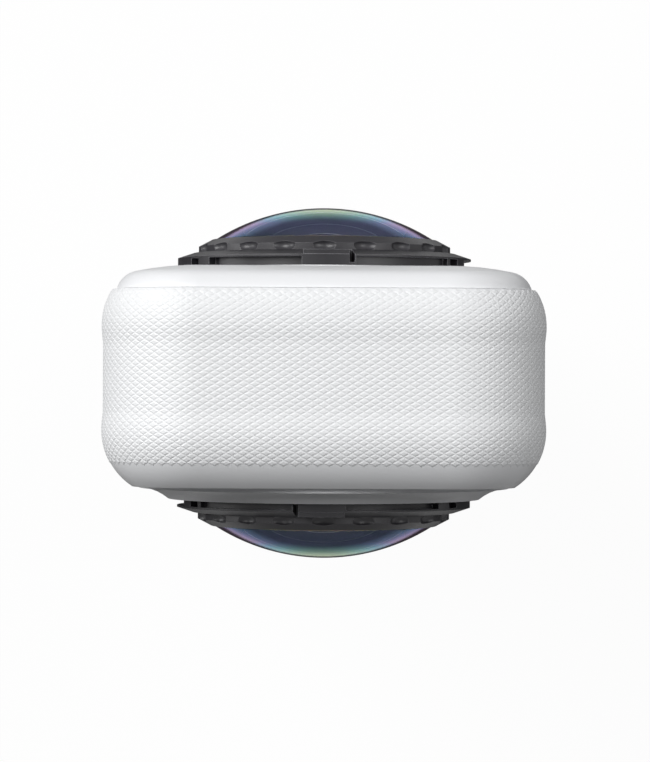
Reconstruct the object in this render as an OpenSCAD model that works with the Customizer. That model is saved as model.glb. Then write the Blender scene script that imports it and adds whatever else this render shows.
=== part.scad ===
// Slim upright camera with two fisheye lenses, back to back. All sizes are in millimetres.
// X is the width, +Y the front lens, -Y the rear lens and the screen, +Z up.
// The origin is the mouth of the tripod thread, in the middle of the base.
// A section point is [r, y]: r runs outward from the rectangle of the corner centres, y is depth.

/* [Body] */
// Width across the grip band
body_w = 46; // [44:0.5:54]
// Height from the base to the top of the grip band
body_h = 124.5; // [118:0.5:145]
// Corner radius of the front view
corner_r = 10; // [9.5:0.25:12]
// Wall of the grip frame
wall = 2.1; // [1.8:0.1:2.4]
// Depth of the middle of the grip band
band_mid_y = 0.5; // [0:0.1:1]
// Distance between the two crests of the grip band
crest_gap = 10.8; // [9.8:0.2:12]
// Radius of each crest
crest_r = 7; // [6.8:0.1:8.4]
// Depth of the flat waist between the crests
waist_depth = 0.15; // [0.05:0.05:0.3]
// Seam of the front cover, forward of the lens mid-plane
front_seam = 9.65; // [9.3:0.05:10]
// Rear face of the grip frame, behind the lens mid-plane
rear_face = 10.75; // [10.4:0.05:11.2]

/* [Covers] */
// Thickness of the front cover
cover_t = 1.5; // [1.2:0.1:1.8]
// Crown radius of the front cover towards its edge
cover_crown_r = 32; // [24:1:60]
// Edge round of the front cover
cover_edge_r = 2.6; // [2:0.1:3]
// Inset of the front cover from the edge of the frame
cover_inset = 0.3; // [0.1:0.05:0.5]
// Thickness of the rear cover
rear_cover_t = 1.5; // [1.3:0.1:1.8]
// Thickness of the gasket under the front cover
gasket_t = 0.6; // [0.4:0.1:0.8]

/* [Lens modules] */
// Distance from the top of the body to the lens axis
lens_drop = 24; // [22.5:0.5:27]
// Seat of each lens mount, from the lens mid-plane
lens_seat = 12.2; // [11.8:0.1:12.8]
// Radius of the twist ring
ring_r = 13.57; // [13:0.01:14.2]
// Number of finger scallops round the twist ring
scallops = 20; // [12:1:24]
// Radius of each scallop
scallop_r = 1.7; // [1.2:0.1:2]
// Depth of each scallop
scallop_depth = 0.54; // [0.2:0.02:0.6]
// Height of each scallop along the lens axis
scallop_h = 1.24; // [1:0.02:1.5]
// Ball radius of the outer dome
dome_ball_r = 21.8; // [19:0.05:30]
// Wall of the outer dome
dome_t = 1.2; // [0.8:0.1:1.5]
// Ball radius of the inner lens element
element_ball_r = 14.5; // [13.5:0.1:20]
// Number of bayonet lugs
lugs = 3; // [2:1:4]
// Angle that each bayonet lug spans
lug_angle = 30; // [20:1:34]
// Concave flare radius round the rear lens platform
flare_r = 5; // [4.5:0.5:14]

/* [Keys] */
// Radius of the two rear keys
key_r = 4; // [3.2:0.1:4.5]
// Distance of each rear key from the middle
key_x = 8.5; // [7.5:0.1:9.5]
// Height of the rear keys above the base
key_z = 12.8; // [12:0.1:14]
// How far the rear keys stand proud
key_proud = 0.25; // [0.1:0.05:0.5]
// Travel of every key
key_travel = 0.5; // [0.3:0.05:0.6]
// Width of the side keys
side_key_w = 4.4; // [3.6:0.1:5]
// Length of the side keys
side_key_l = 9; // [7.5:0.1:11]
// Distance of the power key below the lens axis
power_drop = 14.5; // [13:0.5:18]
// Spacing of the two side keys
side_key_pitch = 13; // [12.5:0.5:16]

/* [Doors] */
// Width of the battery door
battery_door_w = 13; // [12:0.2:14]
// Width of the port door
usb_door_w = 7.6; // [6.8:0.1:8.4]
// Length of the port door above its hinge
usb_door_l = 21; // [19:0.5:26]
// Radius of the hinge barrels
hinge_r = 1.1; // [1:0.05:1.2]
// Radius of the hinge pins
hinge_pin_r = 0.45; // [0.35:0.05:0.5]
// Gap round each door
door_gap = 0.2; // [0.15:0.05:0.3]
// Slide of the battery latch
latch_slide = 2; // [1.5:0.1:2.5]
// Length of the thumb piece of the latch
latch_l = 8; // [6:0.5:10]
// Width of the thumb piece of the latch
latch_w = 6.8; // [5:0.2:8]

/* [Inside] */
// Thickness of the screen glass
glass_t = 1; // [0.7:0.1:1]
// Thickness of the display panel
display_t = 2; // [1.4:0.1:2.3]
// Thickness of the circuit boards
board_t = 1; // [0.8:0.1:1.2]
// Thickness of the chassis plates
plate_t = 0.8; // [0.6:0.1:1]
// Thickness of the battery
battery_t = 10.6; // [9:0.1:11]
// Wall of the battery bay
bay_wall = 0.6; // [0.5:0.1:0.8]
// Height of the port above the floor of the battery bay
usb_rise = 18; // [15:0.5:30]
// Length of the memory card
card_l = 15; // [14:0.5:16]
// Width of the memory card
card_w = 11; // [10:0.5:11.5]

/* [Base] */
// Depth of the base plate
base_d = 12.4; // [11:0.2:13]
// Wall radius of the tripod thread, 1/4 inch
thread_r = 2.6; // [2.5:0.05:3]
// Depth of the tripod thread
thread_depth = 6; // [5:0.5:8]
// Radius of the tripod insert
insert_r = 4.6; // [4.2:0.1:4.8]
// Length of each locating slot in the base
slot_l = 4; // [3:0.25:4.5]

/* [Clearances] */
// Gap between fixed pieces that drop into each other
fit = 0.1; // [0.05:0.05:0.15]
// Running gap round pieces that turn or slide
run = 0.05; // [0.03:0.01:0.08]
// Gap round each key in its hole
key_gap = 0.15; // [0.1:0.05:0.25]

/* [Hidden] */
$fn = 64;
over = 1;

// Grip band
half_w = body_w / 2 - corner_r;
half_h = body_h / 2 - corner_r;
in_r = corner_r - wall;
in_x = half_w + in_r;
waist_r = corner_r - waist_depth;
front_crest_y = band_mid_y + crest_gap / 2;
rear_crest_y = band_mid_y - crest_gap / 2;
function crest_reach(dy) = corner_r - crest_r + sqrt(crest_r * crest_r - dy * dy);
front_edge_r = crest_reach(front_seam - front_crest_y);
rear_edge_r = crest_reach(-rear_face - rear_crest_y);

// Rear cover and the ledge that carries it
rim_w = 0.64;
rim_r = rear_edge_r - rim_w;
rear_cover_r = rim_r - fit;
ledge_w = 1.3;
ledge_t = 1.5;
rear_in = rear_face - rear_cover_t;

// Front cover, its gasket and the ledge below
seam_gap = 0.03;
cover_rim_y = front_seam + seam_gap;
cover_in_y = lens_seat - cover_t;
cover_out_r = front_edge_r - cover_inset;
lip_w = 1.35;
lip_l = 1.55;
lip_out_r = in_r - fit - run;
lip_in_r = lip_out_r - lip_w;
gasket_y = cover_rim_y - lip_l - gasket_t;
gasket_ledge_w = 1;
gasket_ledge_t = 0.8;
crown_c = [0, lens_seat - cover_crown_r];
// The edge round lies a hair under the crown and the two overlap, so that their arcs never cross
edge_tuck = 0.002;
edge_lap = 0.02;
edge_c_r = cover_out_r - cover_edge_r;
edge_reach = cover_crown_r - cover_edge_r - edge_tuck;
edge_c = [edge_c_r, crown_c.y + sqrt(edge_reach * edge_reach - edge_c_r * edge_c_r)];
edge_dir = (edge_c - crown_c) / norm(edge_c - crown_c);

// Lens modules, radii
lens_z = body_h - lens_drop;
ring_rim_w = 1.57;
dome_r = ring_r - ring_rim_w;
dome_ledge_r = dome_r - 0.85;
skirt_step = 1.17;
skirt_t = 0.95;
skirt_r = ring_r - skirt_step;
skirt_in_r = skirt_r - skirt_t;
lug_reach = 0.9;
skirt_lip_r = skirt_r + lug_reach / 2;
lug_r = skirt_r + lug_reach;
mount_in_r = lug_r + fit;
mount_neck_t = 0.8;
mount_neck_r = mount_in_r + mount_neck_t;
lens_hole_r = mount_neck_r + fit;
flange_w = 1.6;
flange_r = mount_neck_r + flange_w;
ring_well_r = ring_r + 0.28;
rim_t = 0.3;
pad_margin = 0.4;
barrel_gap = 0.25;
barrel_r = skirt_in_r - barrel_gap;
barrel_foot_r = barrel_r + 0.6;
barrel_neck_r = barrel_r - 1.4;
element_r = barrel_neck_r;
sensor_board_w = 2 * (barrel_foot_r + 0.7);
sensor_w = 13;
sensor_h = 10;
sensor_t = 1.2;

// Lens modules, heights from the mid-plane
mount_depth = 1.3;
flange_t = 1.15;
flange_lip_t = 0.2;
shelf_h = 1.1;
crest_h = 1.7;
bayonet_t = 0.6;
ring_gap = 0.2;
ring_h = 1.11;
ring_bevel_h = 0.75;
shelf_z = lens_seat + shelf_h;
ring_z = shelf_z + ring_gap;
ring_top = ring_z + ring_h + ring_bevel_h;
dome_z = ring_z + 0.8;
scallop_z = ring_z + 0.91;
scallop_nose = (scallop_h * scallop_h / 4 + scallop_depth * scallop_depth) / (2 * scallop_depth);
ring_ledge_t = 0.7;
skirt_z = lens_seat - 1.6;
skirt_lip_t = 0.3;
lug_t = 0.55;
lug_z = shelf_z - bayonet_t - ring_gap - lug_t;
lug_cover = 3;
dome_edge_h = 0.94;
dome_c = dome_z + dome_edge_h - sqrt(dome_ball_r * dome_ball_r - dome_r * dome_r);
element_rim_t = 0.6;
element_z = dome_z - 2.3;
element_c = element_z + element_rim_t - sqrt(element_ball_r * element_ball_r - element_r * element_r);
barrel_foot_t = 1.2;
barrel_flare_h = 1.2;
barrel_flare_z = skirt_z - 1.6;
barrel_top = element_z + 1.2;
aperture_r = element_r - 3;
baffle_r = 0.68 * aperture_r;
stop_r = 0.4 * aperture_r;
baffle_z = element_z - 2.6;
stop_z = baffle_z + 0.15;
barrel_bore_r = element_r - 1.1;
seal_minor_r = (mount_in_r - skirt_r) / 2 - 0.06;
seal_r = (mount_in_r + skirt_r) / 2 - 0.03;
seal_z = (skirt_z + skirt_lip_t + lug_z) / 2;
blocks = 3;
// Start, angle and depth of each cut under the flange lip, repeated for every block
flange_cuts = [[57, 6, 0.9], [70, 41.5, 0.9]];
relief_start = 12;
relief_angle = 43;
relief_depth = 0.6;
key_start = -8;
key_angle = 18;
key_slit = 2;
slit_floor = 0.3;

// Rear lens platform
platform_rim_w = 1;
platform_rise = 0.25;
platform_top_r = flange_r + platform_rim_w;
platform_top = lens_seat + platform_rise;
platform_spread = 3.2;
platform_foot_r = platform_top_r + platform_spread;
platform_edge_t = 0.5;
platform_lap = 0.05;
flare_a = [platform_top_r, platform_top];
flare_b = [platform_foot_r, rear_face + platform_edge_t];
flare_half = norm(flare_b - flare_a) / 2;
flare_out = [flare_a.y - flare_b.y, flare_b.x - flare_a.x] / (2 * flare_half);
flare_c = (flare_a + flare_b) / 2 + sqrt(flare_r * flare_r - flare_half * flare_half) * flare_out;

// Rear keys, from the rear cover inward
key_flange_w = 0.9;
key_flange_t = 0.6;
switch_h = 1.05;
switch_w = 3.2;
switch_gap = key_travel + run;
key_board_t = 0.8;
key_flange_out = rear_in - run;
switch_tip = key_flange_out - key_flange_t - switch_gap;
key_board_out = switch_tip - switch_h;
chassis_rear = key_board_out - key_board_t;
chassis_front_y = plate_t - chassis_rear;
dish_r = 20;
dish_depth = 0.25;

// Side keys, from the side wall inward
side_flange_t = 0.55;
side_flange_w = 0.6;
side_flange_out = in_x - run;
side_tip = side_flange_out - side_flange_t - switch_gap;
side_board_out = side_tip - switch_h;
side_board_in = side_board_out - key_board_t;
neck_hw = side_board_in - plate_t;
power_z = lens_z - power_drop;
mode_z = power_z - side_key_pitch;
side_board_margin = 2;

// Chassis
mid_plate_t = 1.6;
chassis_clear = 0.3;
chassis_r = in_r - chassis_clear;
web_drop = 23.5;
web_z = lens_z - web_drop;
shoulder_drop = 4;
shoulder_z = lens_z - shoulder_drop;
board_z = mid_plate_t / 2 + board_t;
boss_r = 2;
boss_reach = in_r - boss_r + chassis_clear;
boss_side = [half_w + boss_reach * cos(45), half_h + boss_reach * sin(45)];
screw_r = 0.65;
screw_head_r = 1.25;
screw_head_t = 0.9;
screw_l = 3.2;
screw_bore_r = screw_r + run;
drive_r = 0.55;
drive_depth = 0.5;

// Base
base_flange_w = 2;
base_w = 2 * (half_w - base_flange_w);
base_mid_y = gasket_y - gasket_ledge_t - fit - base_d / 2;
base_flange_t = 1.1;
base_top = wall + base_flange_t;
base_round = 3;
chassis_z = base_top + 0.4;
base_screw_x = base_w / 2 + base_flange_w / 2;
base_screw_l = 2.4;
base_screw_head_r = 0.9;
insert_flange_w = 0.5;
insert_flange_t = 1;
insert_top_t = 1.2;
slot_x = (base_w / 2 + insert_r) / 2;
slot_w = 2.2;
slot_depth = 1.6;

// Screen
screen_margin = 1.5;
screen_gap = 3.8;
platform_gap = 2.2;
glass_w = 2 * (half_w + rear_cover_r - screen_margin);
glass_z0 = key_z + key_r + screen_gap;
glass_z1 = lens_z - platform_foot_r - platform_gap;
glass_round = 2.5;
window_inset = 0.9;
window_inset_z = 1.7;
display_fit = 0.2;
main_board_inset = 3;

// Battery bay and the pieces on it
bay_mouth = half_w + lip_in_r - fit;
bay_rise = 7.8;
bay_drop = 7.8;
bay_z = corner_r + bay_rise;
bay_top = web_z - bay_drop;
bay_rear_y = chassis_front_y;
battery_y = bay_rear_y + bay_wall + fit;
bay_front_y = battery_y + battery_t + fit + bay_wall;
battery_inset = 0.3;
contact_l = 1.5;
contact_w = 1.2;
contact_h = 4;
contact_rise = 25.7;
contact_pitch = 2.2;
contacts = 4;
usb_shell_l = 6.5;
usb_shell_w = 9;
usb_shell_h = 3.3;
usb_shell_t = 0.3;
usb_tongue_w = 6.7;
usb_tongue_t = 0.7;
usb_mouth = in_x - 1.3;
bay_end = usb_mouth - usb_shell_l - 0.5;
usb_z = bay_z + usb_rise;
usb_board_top = band_mid_y - usb_shell_h / 2;
usb_board_l = 16;
card_t = 1;
card_in_l = card_l - 2 * fit;
card_notch = 1;
reader_wall = 0.5;
reader_h = card_t + 2 * reader_wall;
reader_l = card_l + reader_wall;
reader_w = card_w + 2 * reader_wall + 2 * fit;

// Doors
hinge_x = half_w + waist_r - hinge_r;
hinge_clear = 0.5;
pin_bite = 1.2;
pin_fit = 0.02;
door_in_x = in_x + 0.2;
door_round = 1.5;
seal_wall = 1;
seal_inset = 1;
battery_hinge_drop = 2.7;
battery_hinge_z = bay_z - battery_hinge_drop;
seal_top_z = bay_top + reader_h + 1.1;
latch_z = seal_top_z + 1.2;
latch_recess_l = latch_l + latch_slide + 2 * door_gap;
battery_door_top = latch_z + latch_recess_l + 1;
latch_floor = half_w + corner_r - 1;
latch_stem = 3;
tongue_w = 6;
tongue_t = 0.7;
tongue_out = in_x - door_gap;
usb_hinge_z = usb_z - usb_door_l / 2 - 0.5;
usb_seal_t = in_x - usb_mouth - 0.3;
usb_seal_hl = usb_shell_w / 2 + 0.6 + seal_wall;
nail_r = 2.2;
nail_depth = 0.6;

// Small pieces behind the covers
lamp_r = 0.95;
lamp_drop = 21.5;
lamp_z = lens_z - lamp_drop;
mesh_r = 0.9;
stem_flange_w = 0.5;
stem_flange_t = 0.5;
front_mic_rise = 13;
front_mic_z = key_z + front_mic_rise;
speaker_rise = 1.2;
speaker_z = key_z + speaker_rise;
speaker_w = 16;
speaker_l = 11;
speaker_t = 3;
speaker_hole_r = 0.45;
speaker_hole_pitch = 1.9;
speaker_columns = 6;
speaker_rows = 2;

white = "#eceded";
light_grey = "#d9dadc";
black = "#2a2a2d";
glass = "#353c46";
rubber = "#3c3c40";
steel = "#b8bbc0";
brass = "#c6a559";
board_green = "#1f5a3c";
chassis_grey = "#9da1a6";
lamp_blue = "#cfe8ff";
sensor_blue = "#2f4a6b";

// Frames of reference

// Local x, y, z become X, Z, Y: a front view drawing with depth along its z
module upright() rotate([90, 0, 0]) mirror([0, 0, 1]) children();

// Local x, y, z become X, Z, -Y: z points out of the rear face
module on_rear() rotate([90, 0, 0]) children();

// Local x, y, z become Y, Z, X: z points out of the right side
module on_right() rotate([90, 0, 90]) children();

module on_left() mirror([1, 0, 0]) on_right() children();

// Local z points outward along the lens axis, and the angle 0 of a ring lies at the top of the lens
module on_lens(turn) rotate([0, 0, turn]) translate([0, 0, lens_z]) rotate([-90, 0, 0])
    rotate([0, 0, -90]) children();

// Outlines and sweeps

module rounded_rect(w, h, r) {
    square([w - 2 * r, h], center = true);
    square([w, h - 2 * r], center = true);
    for (sx = [-1, 1], sy = [-1, 1])
        translate([sx * (w / 2 - r), sy * (h / 2 - r)]) circle(r);
}

module pill(w, h) {
    square([w, h - w], center = true);
    for (s = [-1, 1])
        translate([0, s * (h - w) / 2]) circle(w / 2);
}

// Front view outline of the body at the section distance r
module outline(r) translate([0, body_h / 2]) rounded_rect(2 * (half_w + r), 2 * (half_h + r), r);

module slab(r, y0, y1) upright() translate([0, 0, y0]) linear_extrude(y1 - y0) outline(r);

// Sweeps a section [r, y] once round the body
module loop_sweep() upright() translate([0, body_h / 2, 0])
    for (quarter = [0:3]) {
        side = quarter % 2 == 0;
        out = side ? half_w : half_h;
        along = side ? half_h : half_w;
        rotate([0, 0, quarter * 90]) {
            translate([out, 0, 0]) rotate([90, 0, 0]) linear_extrude(2 * along, center = true) children();
            translate([out, along, 0]) rotate_extrude(angle = 90) children();
        }
    }

// Part of a revolved section from one angle to another
module sector(start, angle) rotate([0, 0, start]) rotate_extrude(angle = angle) children();

module box_section(r0, r1, z0, z1) translate([r0, z0]) square([r1 - r0, z1 - z0]);

// Grip frame

module band_section() {
    intersection() {
        union() {
            for (y = [front_crest_y, rear_crest_y])
                translate([corner_r - crest_r, y]) circle(crest_r);
            translate([0, rear_crest_y]) square([waist_r, crest_gap]);
        }
        box_section(0, corner_r + over, -rear_face, front_seam);
    }
}

module frame_section() difference() {
    band_section();
    polygon([
        [-over, -rear_face - over], [rim_r, -rear_face - over], [rim_r, -rear_in],
        [rim_r - ledge_w, -rear_in], [rim_r - ledge_w, ledge_t - rear_in], [in_r, ledge_t - rear_in],
        [in_r, gasket_y - gasket_ledge_t], [in_r - gasket_ledge_w, gasket_y - gasket_ledge_t],
        [in_r - gasket_ledge_w, gasket_y], [in_r, gasket_y], [in_r, front_seam + over],
        [-over, front_seam + over]
    ]);
}

// The straight side of the grip band on the right, between two heights
module side_prism(z0, z1) translate([half_w, 0, z0]) linear_extrude(z1 - z0) band_section();

// Places its children on the two lower or the two upper chassis bosses, z pointing forward
module at_bosses(level) upright() for (s = [-1, 1])
    translate([s * boss_side.x, body_h / 2 + level * boss_side.y, 0]) children();

module boss(top_y) translate([0, 0, -rear_in]) cylinder(r = boss_r, h = top_y + rear_in);

module boss_bore(top_y) translate([0, 0, top_y - screw_l + plate_t])
    cylinder(r = screw_bore_r, h = screw_l);

module base_outline(grow) translate([0, base_mid_y])
    rounded_rect(base_w + 2 * grow, base_d + 2 * grow, base_round);

// Door outline on the side wall: a straight foot on the hinge line and round upper corners
module door_outline(w, z0, z1, grow) {
    r = door_round + grow;
    hw = w / 2 + grow;
    top = z1 + grow;
    translate([band_mid_y - hw, z0]) square([2 * hw, top - r - z0]);
    translate([band_mid_y - hw + r, z0]) square([2 * (hw - r), top - z0]);
    for (s = [-1, 1])
        translate([band_mid_y + s * (hw - r), top - r]) circle(r);
}

module door_opening(w, hinge_z, z1) {
    translate([0, 0, in_x - over])
        linear_extrude(wall + 2 * over) door_outline(w, hinge_z - hinge_r - hinge_clear, z1, door_gap);
    translate([0, hinge_z, hinge_x]) pin_rod(w + 2 * (door_gap + pin_bite), hinge_pin_r + pin_fit);
}

// A rod along the local x axis, centred on the doors
module pin_rod(l, r) translate([band_mid_y, 0, 0]) rotate([0, 90, 0]) cylinder(r = r, h = l, center = true);

module side_key_hole(z) translate([band_mid_y, z, in_x - over])
    linear_extrude(wall + 2 * over) pill(side_key_w + 2 * key_gap, side_key_l + 2 * key_gap);

module grip_frame() color(white) difference() {
    union() {
        loop_sweep() frame_section();
        at_bosses(-1) boss(-chassis_rear);
        at_bosses(1) boss(-mid_plate_t / 2);
    }
    at_bosses(-1) boss_bore(-chassis_rear);
    at_bosses(1) boss_bore(mid_plate_t / 2 - plate_t);
    translate([0, 0, -over]) linear_extrude(wall + 2 * over) base_outline(fit);
    base_screw_bores();
    on_left() door_opening(battery_door_w, battery_hinge_z, battery_door_top);
    on_right() {
        door_opening(usb_door_w, usb_hinge_z, usb_hinge_z + usb_door_l);
        side_key_hole(power_z);
        side_key_hole(mode_z);
    }
}

module base_screw_bores() for (s = [-1, 1])
    translate([s * base_screw_x, base_mid_y, base_top - base_screw_l - fit])
        cylinder(r = screw_bore_r, h = base_screw_l + fit);

// Covers

module cover_section() {
    tip = edge_c + (cover_edge_r + over) * edge_dir;
    difference() {
        intersection() {
            union() {
                intersection() {
                    translate(crown_c) circle(cover_crown_r);
                    polygon([crown_c, crown_c + [0, cover_crown_r + 2 * over],
                        crown_c + (cover_crown_r + 2 * over) * edge_dir + [edge_lap, 0],
                        crown_c + [edge_lap, 0]]);
                }
                intersection() {
                    translate(edge_c) circle(cover_edge_r);
                    polygon([edge_c, tip, [edge_c.x + cover_edge_r + over, tip.y],
                        [edge_c.x + cover_edge_r + over, edge_c.y]]);
                }
            }
            box_section(0, corner_r + over, cover_rim_y, lens_seat + over);
        }
        box_section(-over, lip_in_r, cover_rim_y - over, cover_in_y);
    }
    box_section(lip_in_r, lip_out_r, cover_rim_y - lip_l, cover_rim_y + seam_gap);
}

module speaker_holes() for (i = [0:speaker_columns - 1], j = [0:speaker_rows - 1])
    translate([(i - (speaker_columns - 1) / 2) * speaker_hole_pitch,
        speaker_z + (j - (speaker_rows - 1) / 2) * speaker_hole_pitch, 0])
        cylinder(r = speaker_hole_r, h = lens_seat + over);

module front_cover() color(white) difference() {
    union() {
        loop_sweep() cover_section();
        upright() translate([0, body_h / 2, cover_in_y]) linear_extrude(cover_t)
            square([2 * half_w, 2 * half_h], center = true);
        on_lens(0) translate([0, 0, cover_in_y]) cylinder(r = flange_r + pad_margin, h = cover_t);
    }
    on_lens(0) cylinder(r = lens_hole_r, h = lens_seat + over);
    upright() {
        speaker_holes();
        translate([0, lamp_z, 0]) cylinder(r = lamp_r + run, h = lens_seat + over);
        translate([0, front_mic_z, 0]) cylinder(r = mesh_r + run, h = lens_seat + over);
    }
}

module platform(z0, r) intersection() {
    on_lens(180) rotate_extrude() difference() {
        box_section(0, platform_foot_r, z0, platform_top);
        translate(flare_c) circle(flare_r);
    }
    slab(r, -platform_top - over, 0);
}

module glass_outline(grow) translate([0, (glass_z0 + glass_z1) / 2])
    rounded_rect(glass_w + 2 * grow, glass_z1 - glass_z0 + 2 * grow, glass_round + grow);

module window_outline(inset) translate([0, (glass_z0 + glass_z1) / 2])
    square([glass_w - 2 * (window_inset + inset), glass_z1 - glass_z0 - 2 * (window_inset_z + inset)],
        center = true);

module rear_cover() color(light_grey) difference() {
    union() {
        slab(rear_cover_r, -rear_face, -rear_in);
        platform(rear_in, rear_cover_r);
        platform(rear_face + platform_lap, rear_edge_r - fit);
    }
    on_lens(180) {
        cylinder(r = lens_hole_r, h = lens_seat + over);
        translate([0, 0, lens_seat]) cylinder(r = flange_r + fit, h = platform_rise + over);
    }
    on_rear() {
        for (s = [-1, 1])
            translate([s * key_x, key_z, 0]) cylinder(r = key_r + key_gap, h = lens_seat + over);
        translate([0, key_z, 0]) cylinder(r = mesh_r + run, h = lens_seat + over);
        translate([0, 0, rear_face - glass_t]) linear_extrude(glass_t + over) glass_outline(fit);
        linear_extrude(lens_seat) window_outline(0);
    }
}

module cover_gasket() color(rubber) loop_sweep()
    box_section(lip_in_r + run, in_r - 2 * fit, gasket_y, gasket_y + gasket_t);

// Chassis and screws

module chassis_outline(z0, z1, hw) intersection() {
    outline(chassis_r);
    translate([-hw, z0]) square([2 * hw, z1 - z0]);
}

module inner_chassis() color(chassis_grey) difference() {
    union() {
        upright() {
            translate([0, 0, -chassis_rear]) linear_extrude(plate_t)
                chassis_outline(chassis_z, web_z, body_w);
            translate([-neck_hw, web_z - plate_t, -chassis_rear])
                cube([2 * neck_hw, plate_t, chassis_rear + mid_plate_t / 2]);
            translate([0, 0, -mid_plate_t / 2]) linear_extrude(mid_plate_t) {
                chassis_outline(web_z - plate_t, shoulder_z, neck_hw);
                chassis_outline(shoulder_z, body_h, body_w);
            }
        }
        side_board(neck_hw, plate_t);
        usb_pad();
    }
    at_bosses(-1) boss_bore(-chassis_rear);
    at_bosses(1) boss_bore(mid_plate_t / 2 - plate_t);
    on_lens(0) cylinder(r = barrel_neck_r / 2, h = mid_plate_t + over, center = true);
}

// Upright board along the side keys, from the distance x out
module side_board(x, t) on_right() {
    l = side_key_pitch + side_key_l + side_board_margin;
    translate([band_mid_y, (power_z + mode_z) / 2, x]) linear_extrude(t)
        square([side_key_w + side_board_margin, l], center = true);
}

module usb_pad() translate([bay_end + 2 * fit, chassis_front_y - plate_t, usb_z - usb_board_l / 2])
    cube([usb_mouth - bay_end - 1, usb_board_top - board_t - chassis_front_y + plate_t, usb_board_l]);

// A screw along local z with its head above z = 0
module screw(l, head_r) difference() {
    union() {
        translate([0, 0, -l]) cylinder(r = screw_r, h = l);
        cylinder(r = head_r, h = screw_head_t);
    }
    translate([0, 0, screw_head_t - drive_depth]) cylinder(r = drive_r, h = drive_depth + over, $fn = 6);
}

module chassis_screws() color(steel) {
    at_bosses(-1) translate([0, 0, plate_t - chassis_rear]) screw(screw_l - 2 * fit, screw_head_r);
    at_bosses(1) translate([0, 0, mid_plate_t / 2]) screw(screw_l - 2 * fit, screw_head_r);
}

// Base

module base_plate() color(light_grey) difference() {
    union() {
        linear_extrude(wall) base_outline(0);
        translate([0, 0, wall]) linear_extrude(base_flange_t) translate([0, base_mid_y])
            rounded_rect(base_w + 2 * base_flange_w, base_d, base_round);
    }
    translate([0, 0, -over]) cylinder(r = insert_r + run, h = base_top + 2 * over);
    for (s = [-1, 1])
        translate([s * slot_x, 0, -over]) linear_extrude(slot_depth + over)
            rotate([0, 0, 90]) pill(slot_w, slot_l);
    base_screw_bores();
}

module base_screws() color(steel) for (s = [-1, 1])
    translate([s * base_screw_x, base_mid_y, base_top]) screw(base_screw_l, base_screw_head_r);

module tripod_insert() color(steel) difference() {
    union() {
        cylinder(r = insert_r, h = thread_depth + insert_top_t);
        translate([0, 0, base_top]) cylinder(r = insert_r + insert_flange_w, h = insert_flange_t);
    }
    translate([0, 0, -over]) cylinder(r = thread_r, h = thread_depth + over);
}

// Screen and boards

module screen_glass() color(glass) on_rear() translate([0, 0, rear_face - glass_t])
    linear_extrude(glass_t) glass_outline(0);

module display_panel() color(black) on_rear() translate([0, 0, rear_face - glass_t - display_t])
    linear_extrude(display_t) window_outline(display_fit);

module main_board() color(board_green) on_rear() translate([0, 0, chassis_rear]) linear_extrude(board_t)
    window_outline(main_board_inset);

module key_board() color(board_green) on_rear() translate([0, key_z, chassis_rear])
    linear_extrude(key_board_t) square([2 * (key_x + key_r), 2 * key_r], center = true);

module side_key_board() color(board_green) side_board(side_board_in, key_board_t);

module switch() {
    linear_extrude(switch_h - key_travel) square(switch_w, center = true);
    cylinder(r = switch_w / 4, h = switch_h);
}

module key_switches() color(steel) {
    on_rear() for (s = [-1, 1])
        translate([s * key_x, key_z, key_board_out]) switch();
    on_right() for (z = [power_z, mode_z])
        translate([band_mid_y, z, side_board_out]) switch();
}

// Keys

// A round rear key with a dished face
module rear_key(x) on_rear() translate([x, key_z, 0]) difference() {
    face = rear_face + key_proud;
    union() {
        translate([0, 0, key_flange_out - key_flange_t])
            cylinder(r = key_r + key_flange_w, h = key_flange_t);
        translate([0, 0, key_flange_out - run]) cylinder(r = key_r, h = face - key_flange_out + run);
    }
    translate([0, 0, face + dish_r - dish_depth]) sphere(dish_r);
}

module side_key(z) on_right() translate([band_mid_y, z, 0]) {
    translate([0, 0, side_flange_out - side_flange_t]) linear_extrude(side_flange_t)
        pill(side_key_w + 2 * side_flange_w, side_key_l + 2 * side_flange_w);
    translate([0, 0, side_flange_out - run]) linear_extrude(body_w / 2 - side_flange_out + run)
        pill(side_key_w, side_key_l);
}

module shutter_button() color(light_grey) rear_key(-key_x);

module lens_button() color(light_grey) rear_key(key_x);

module power_button() color(light_grey) side_key(power_z);

module mode_button() color(light_grey) side_key(mode_z);

// Doors

// A door that follows the grip band, with its hinge barrel and bore along the foot
module door_leaf(w, hinge_z, top_z) difference() {
    union() {
        intersection() {
            side_prism(hinge_z, top_z);
            on_right() translate([0, 0, door_in_x]) linear_extrude(wall + over)
                door_outline(w, hinge_z, top_z, 0);
        }
        on_right() translate([0, hinge_z, hinge_x]) pin_rod(w, hinge_r);
    }
    on_right() translate([0, hinge_z, hinge_x]) pin_rod(w + 2 * over, hinge_pin_r + run);
}

module hinge_pin(w, hinge_z) on_right() translate([0, hinge_z, hinge_x])
    pin_rod(w + 2 * (door_gap + pin_bite), hinge_pin_r);

// A rubber rim on the inside of a door, from the door inward by t
module door_seal(w, z0, z1, t) on_right() translate([band_mid_y, (z0 + z1) / 2, door_in_x - t])
    linear_extrude(t) difference() {
        rounded_rect(w, z1 - z0, door_round);
        rounded_rect(w - 2 * seal_wall, z1 - z0 - 2 * seal_wall, door_round - seal_wall / 2);
    }

module usb_door() color(white) difference() {
    door_leaf(usb_door_w, usb_hinge_z, usb_hinge_z + usb_door_l);
    on_right() translate([band_mid_y, usb_hinge_z + usb_door_l, half_w + waist_r - nail_depth])
        cylinder(r = nail_r, h = wall);
}

module usb_door_seal() color(rubber)
    door_seal(usb_door_w - seal_inset, usb_z - usb_seal_hl, usb_z + usb_seal_hl, usb_seal_t);

module usb_hinge_pin() color(steel) hinge_pin(usb_door_w, usb_hinge_z);

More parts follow.
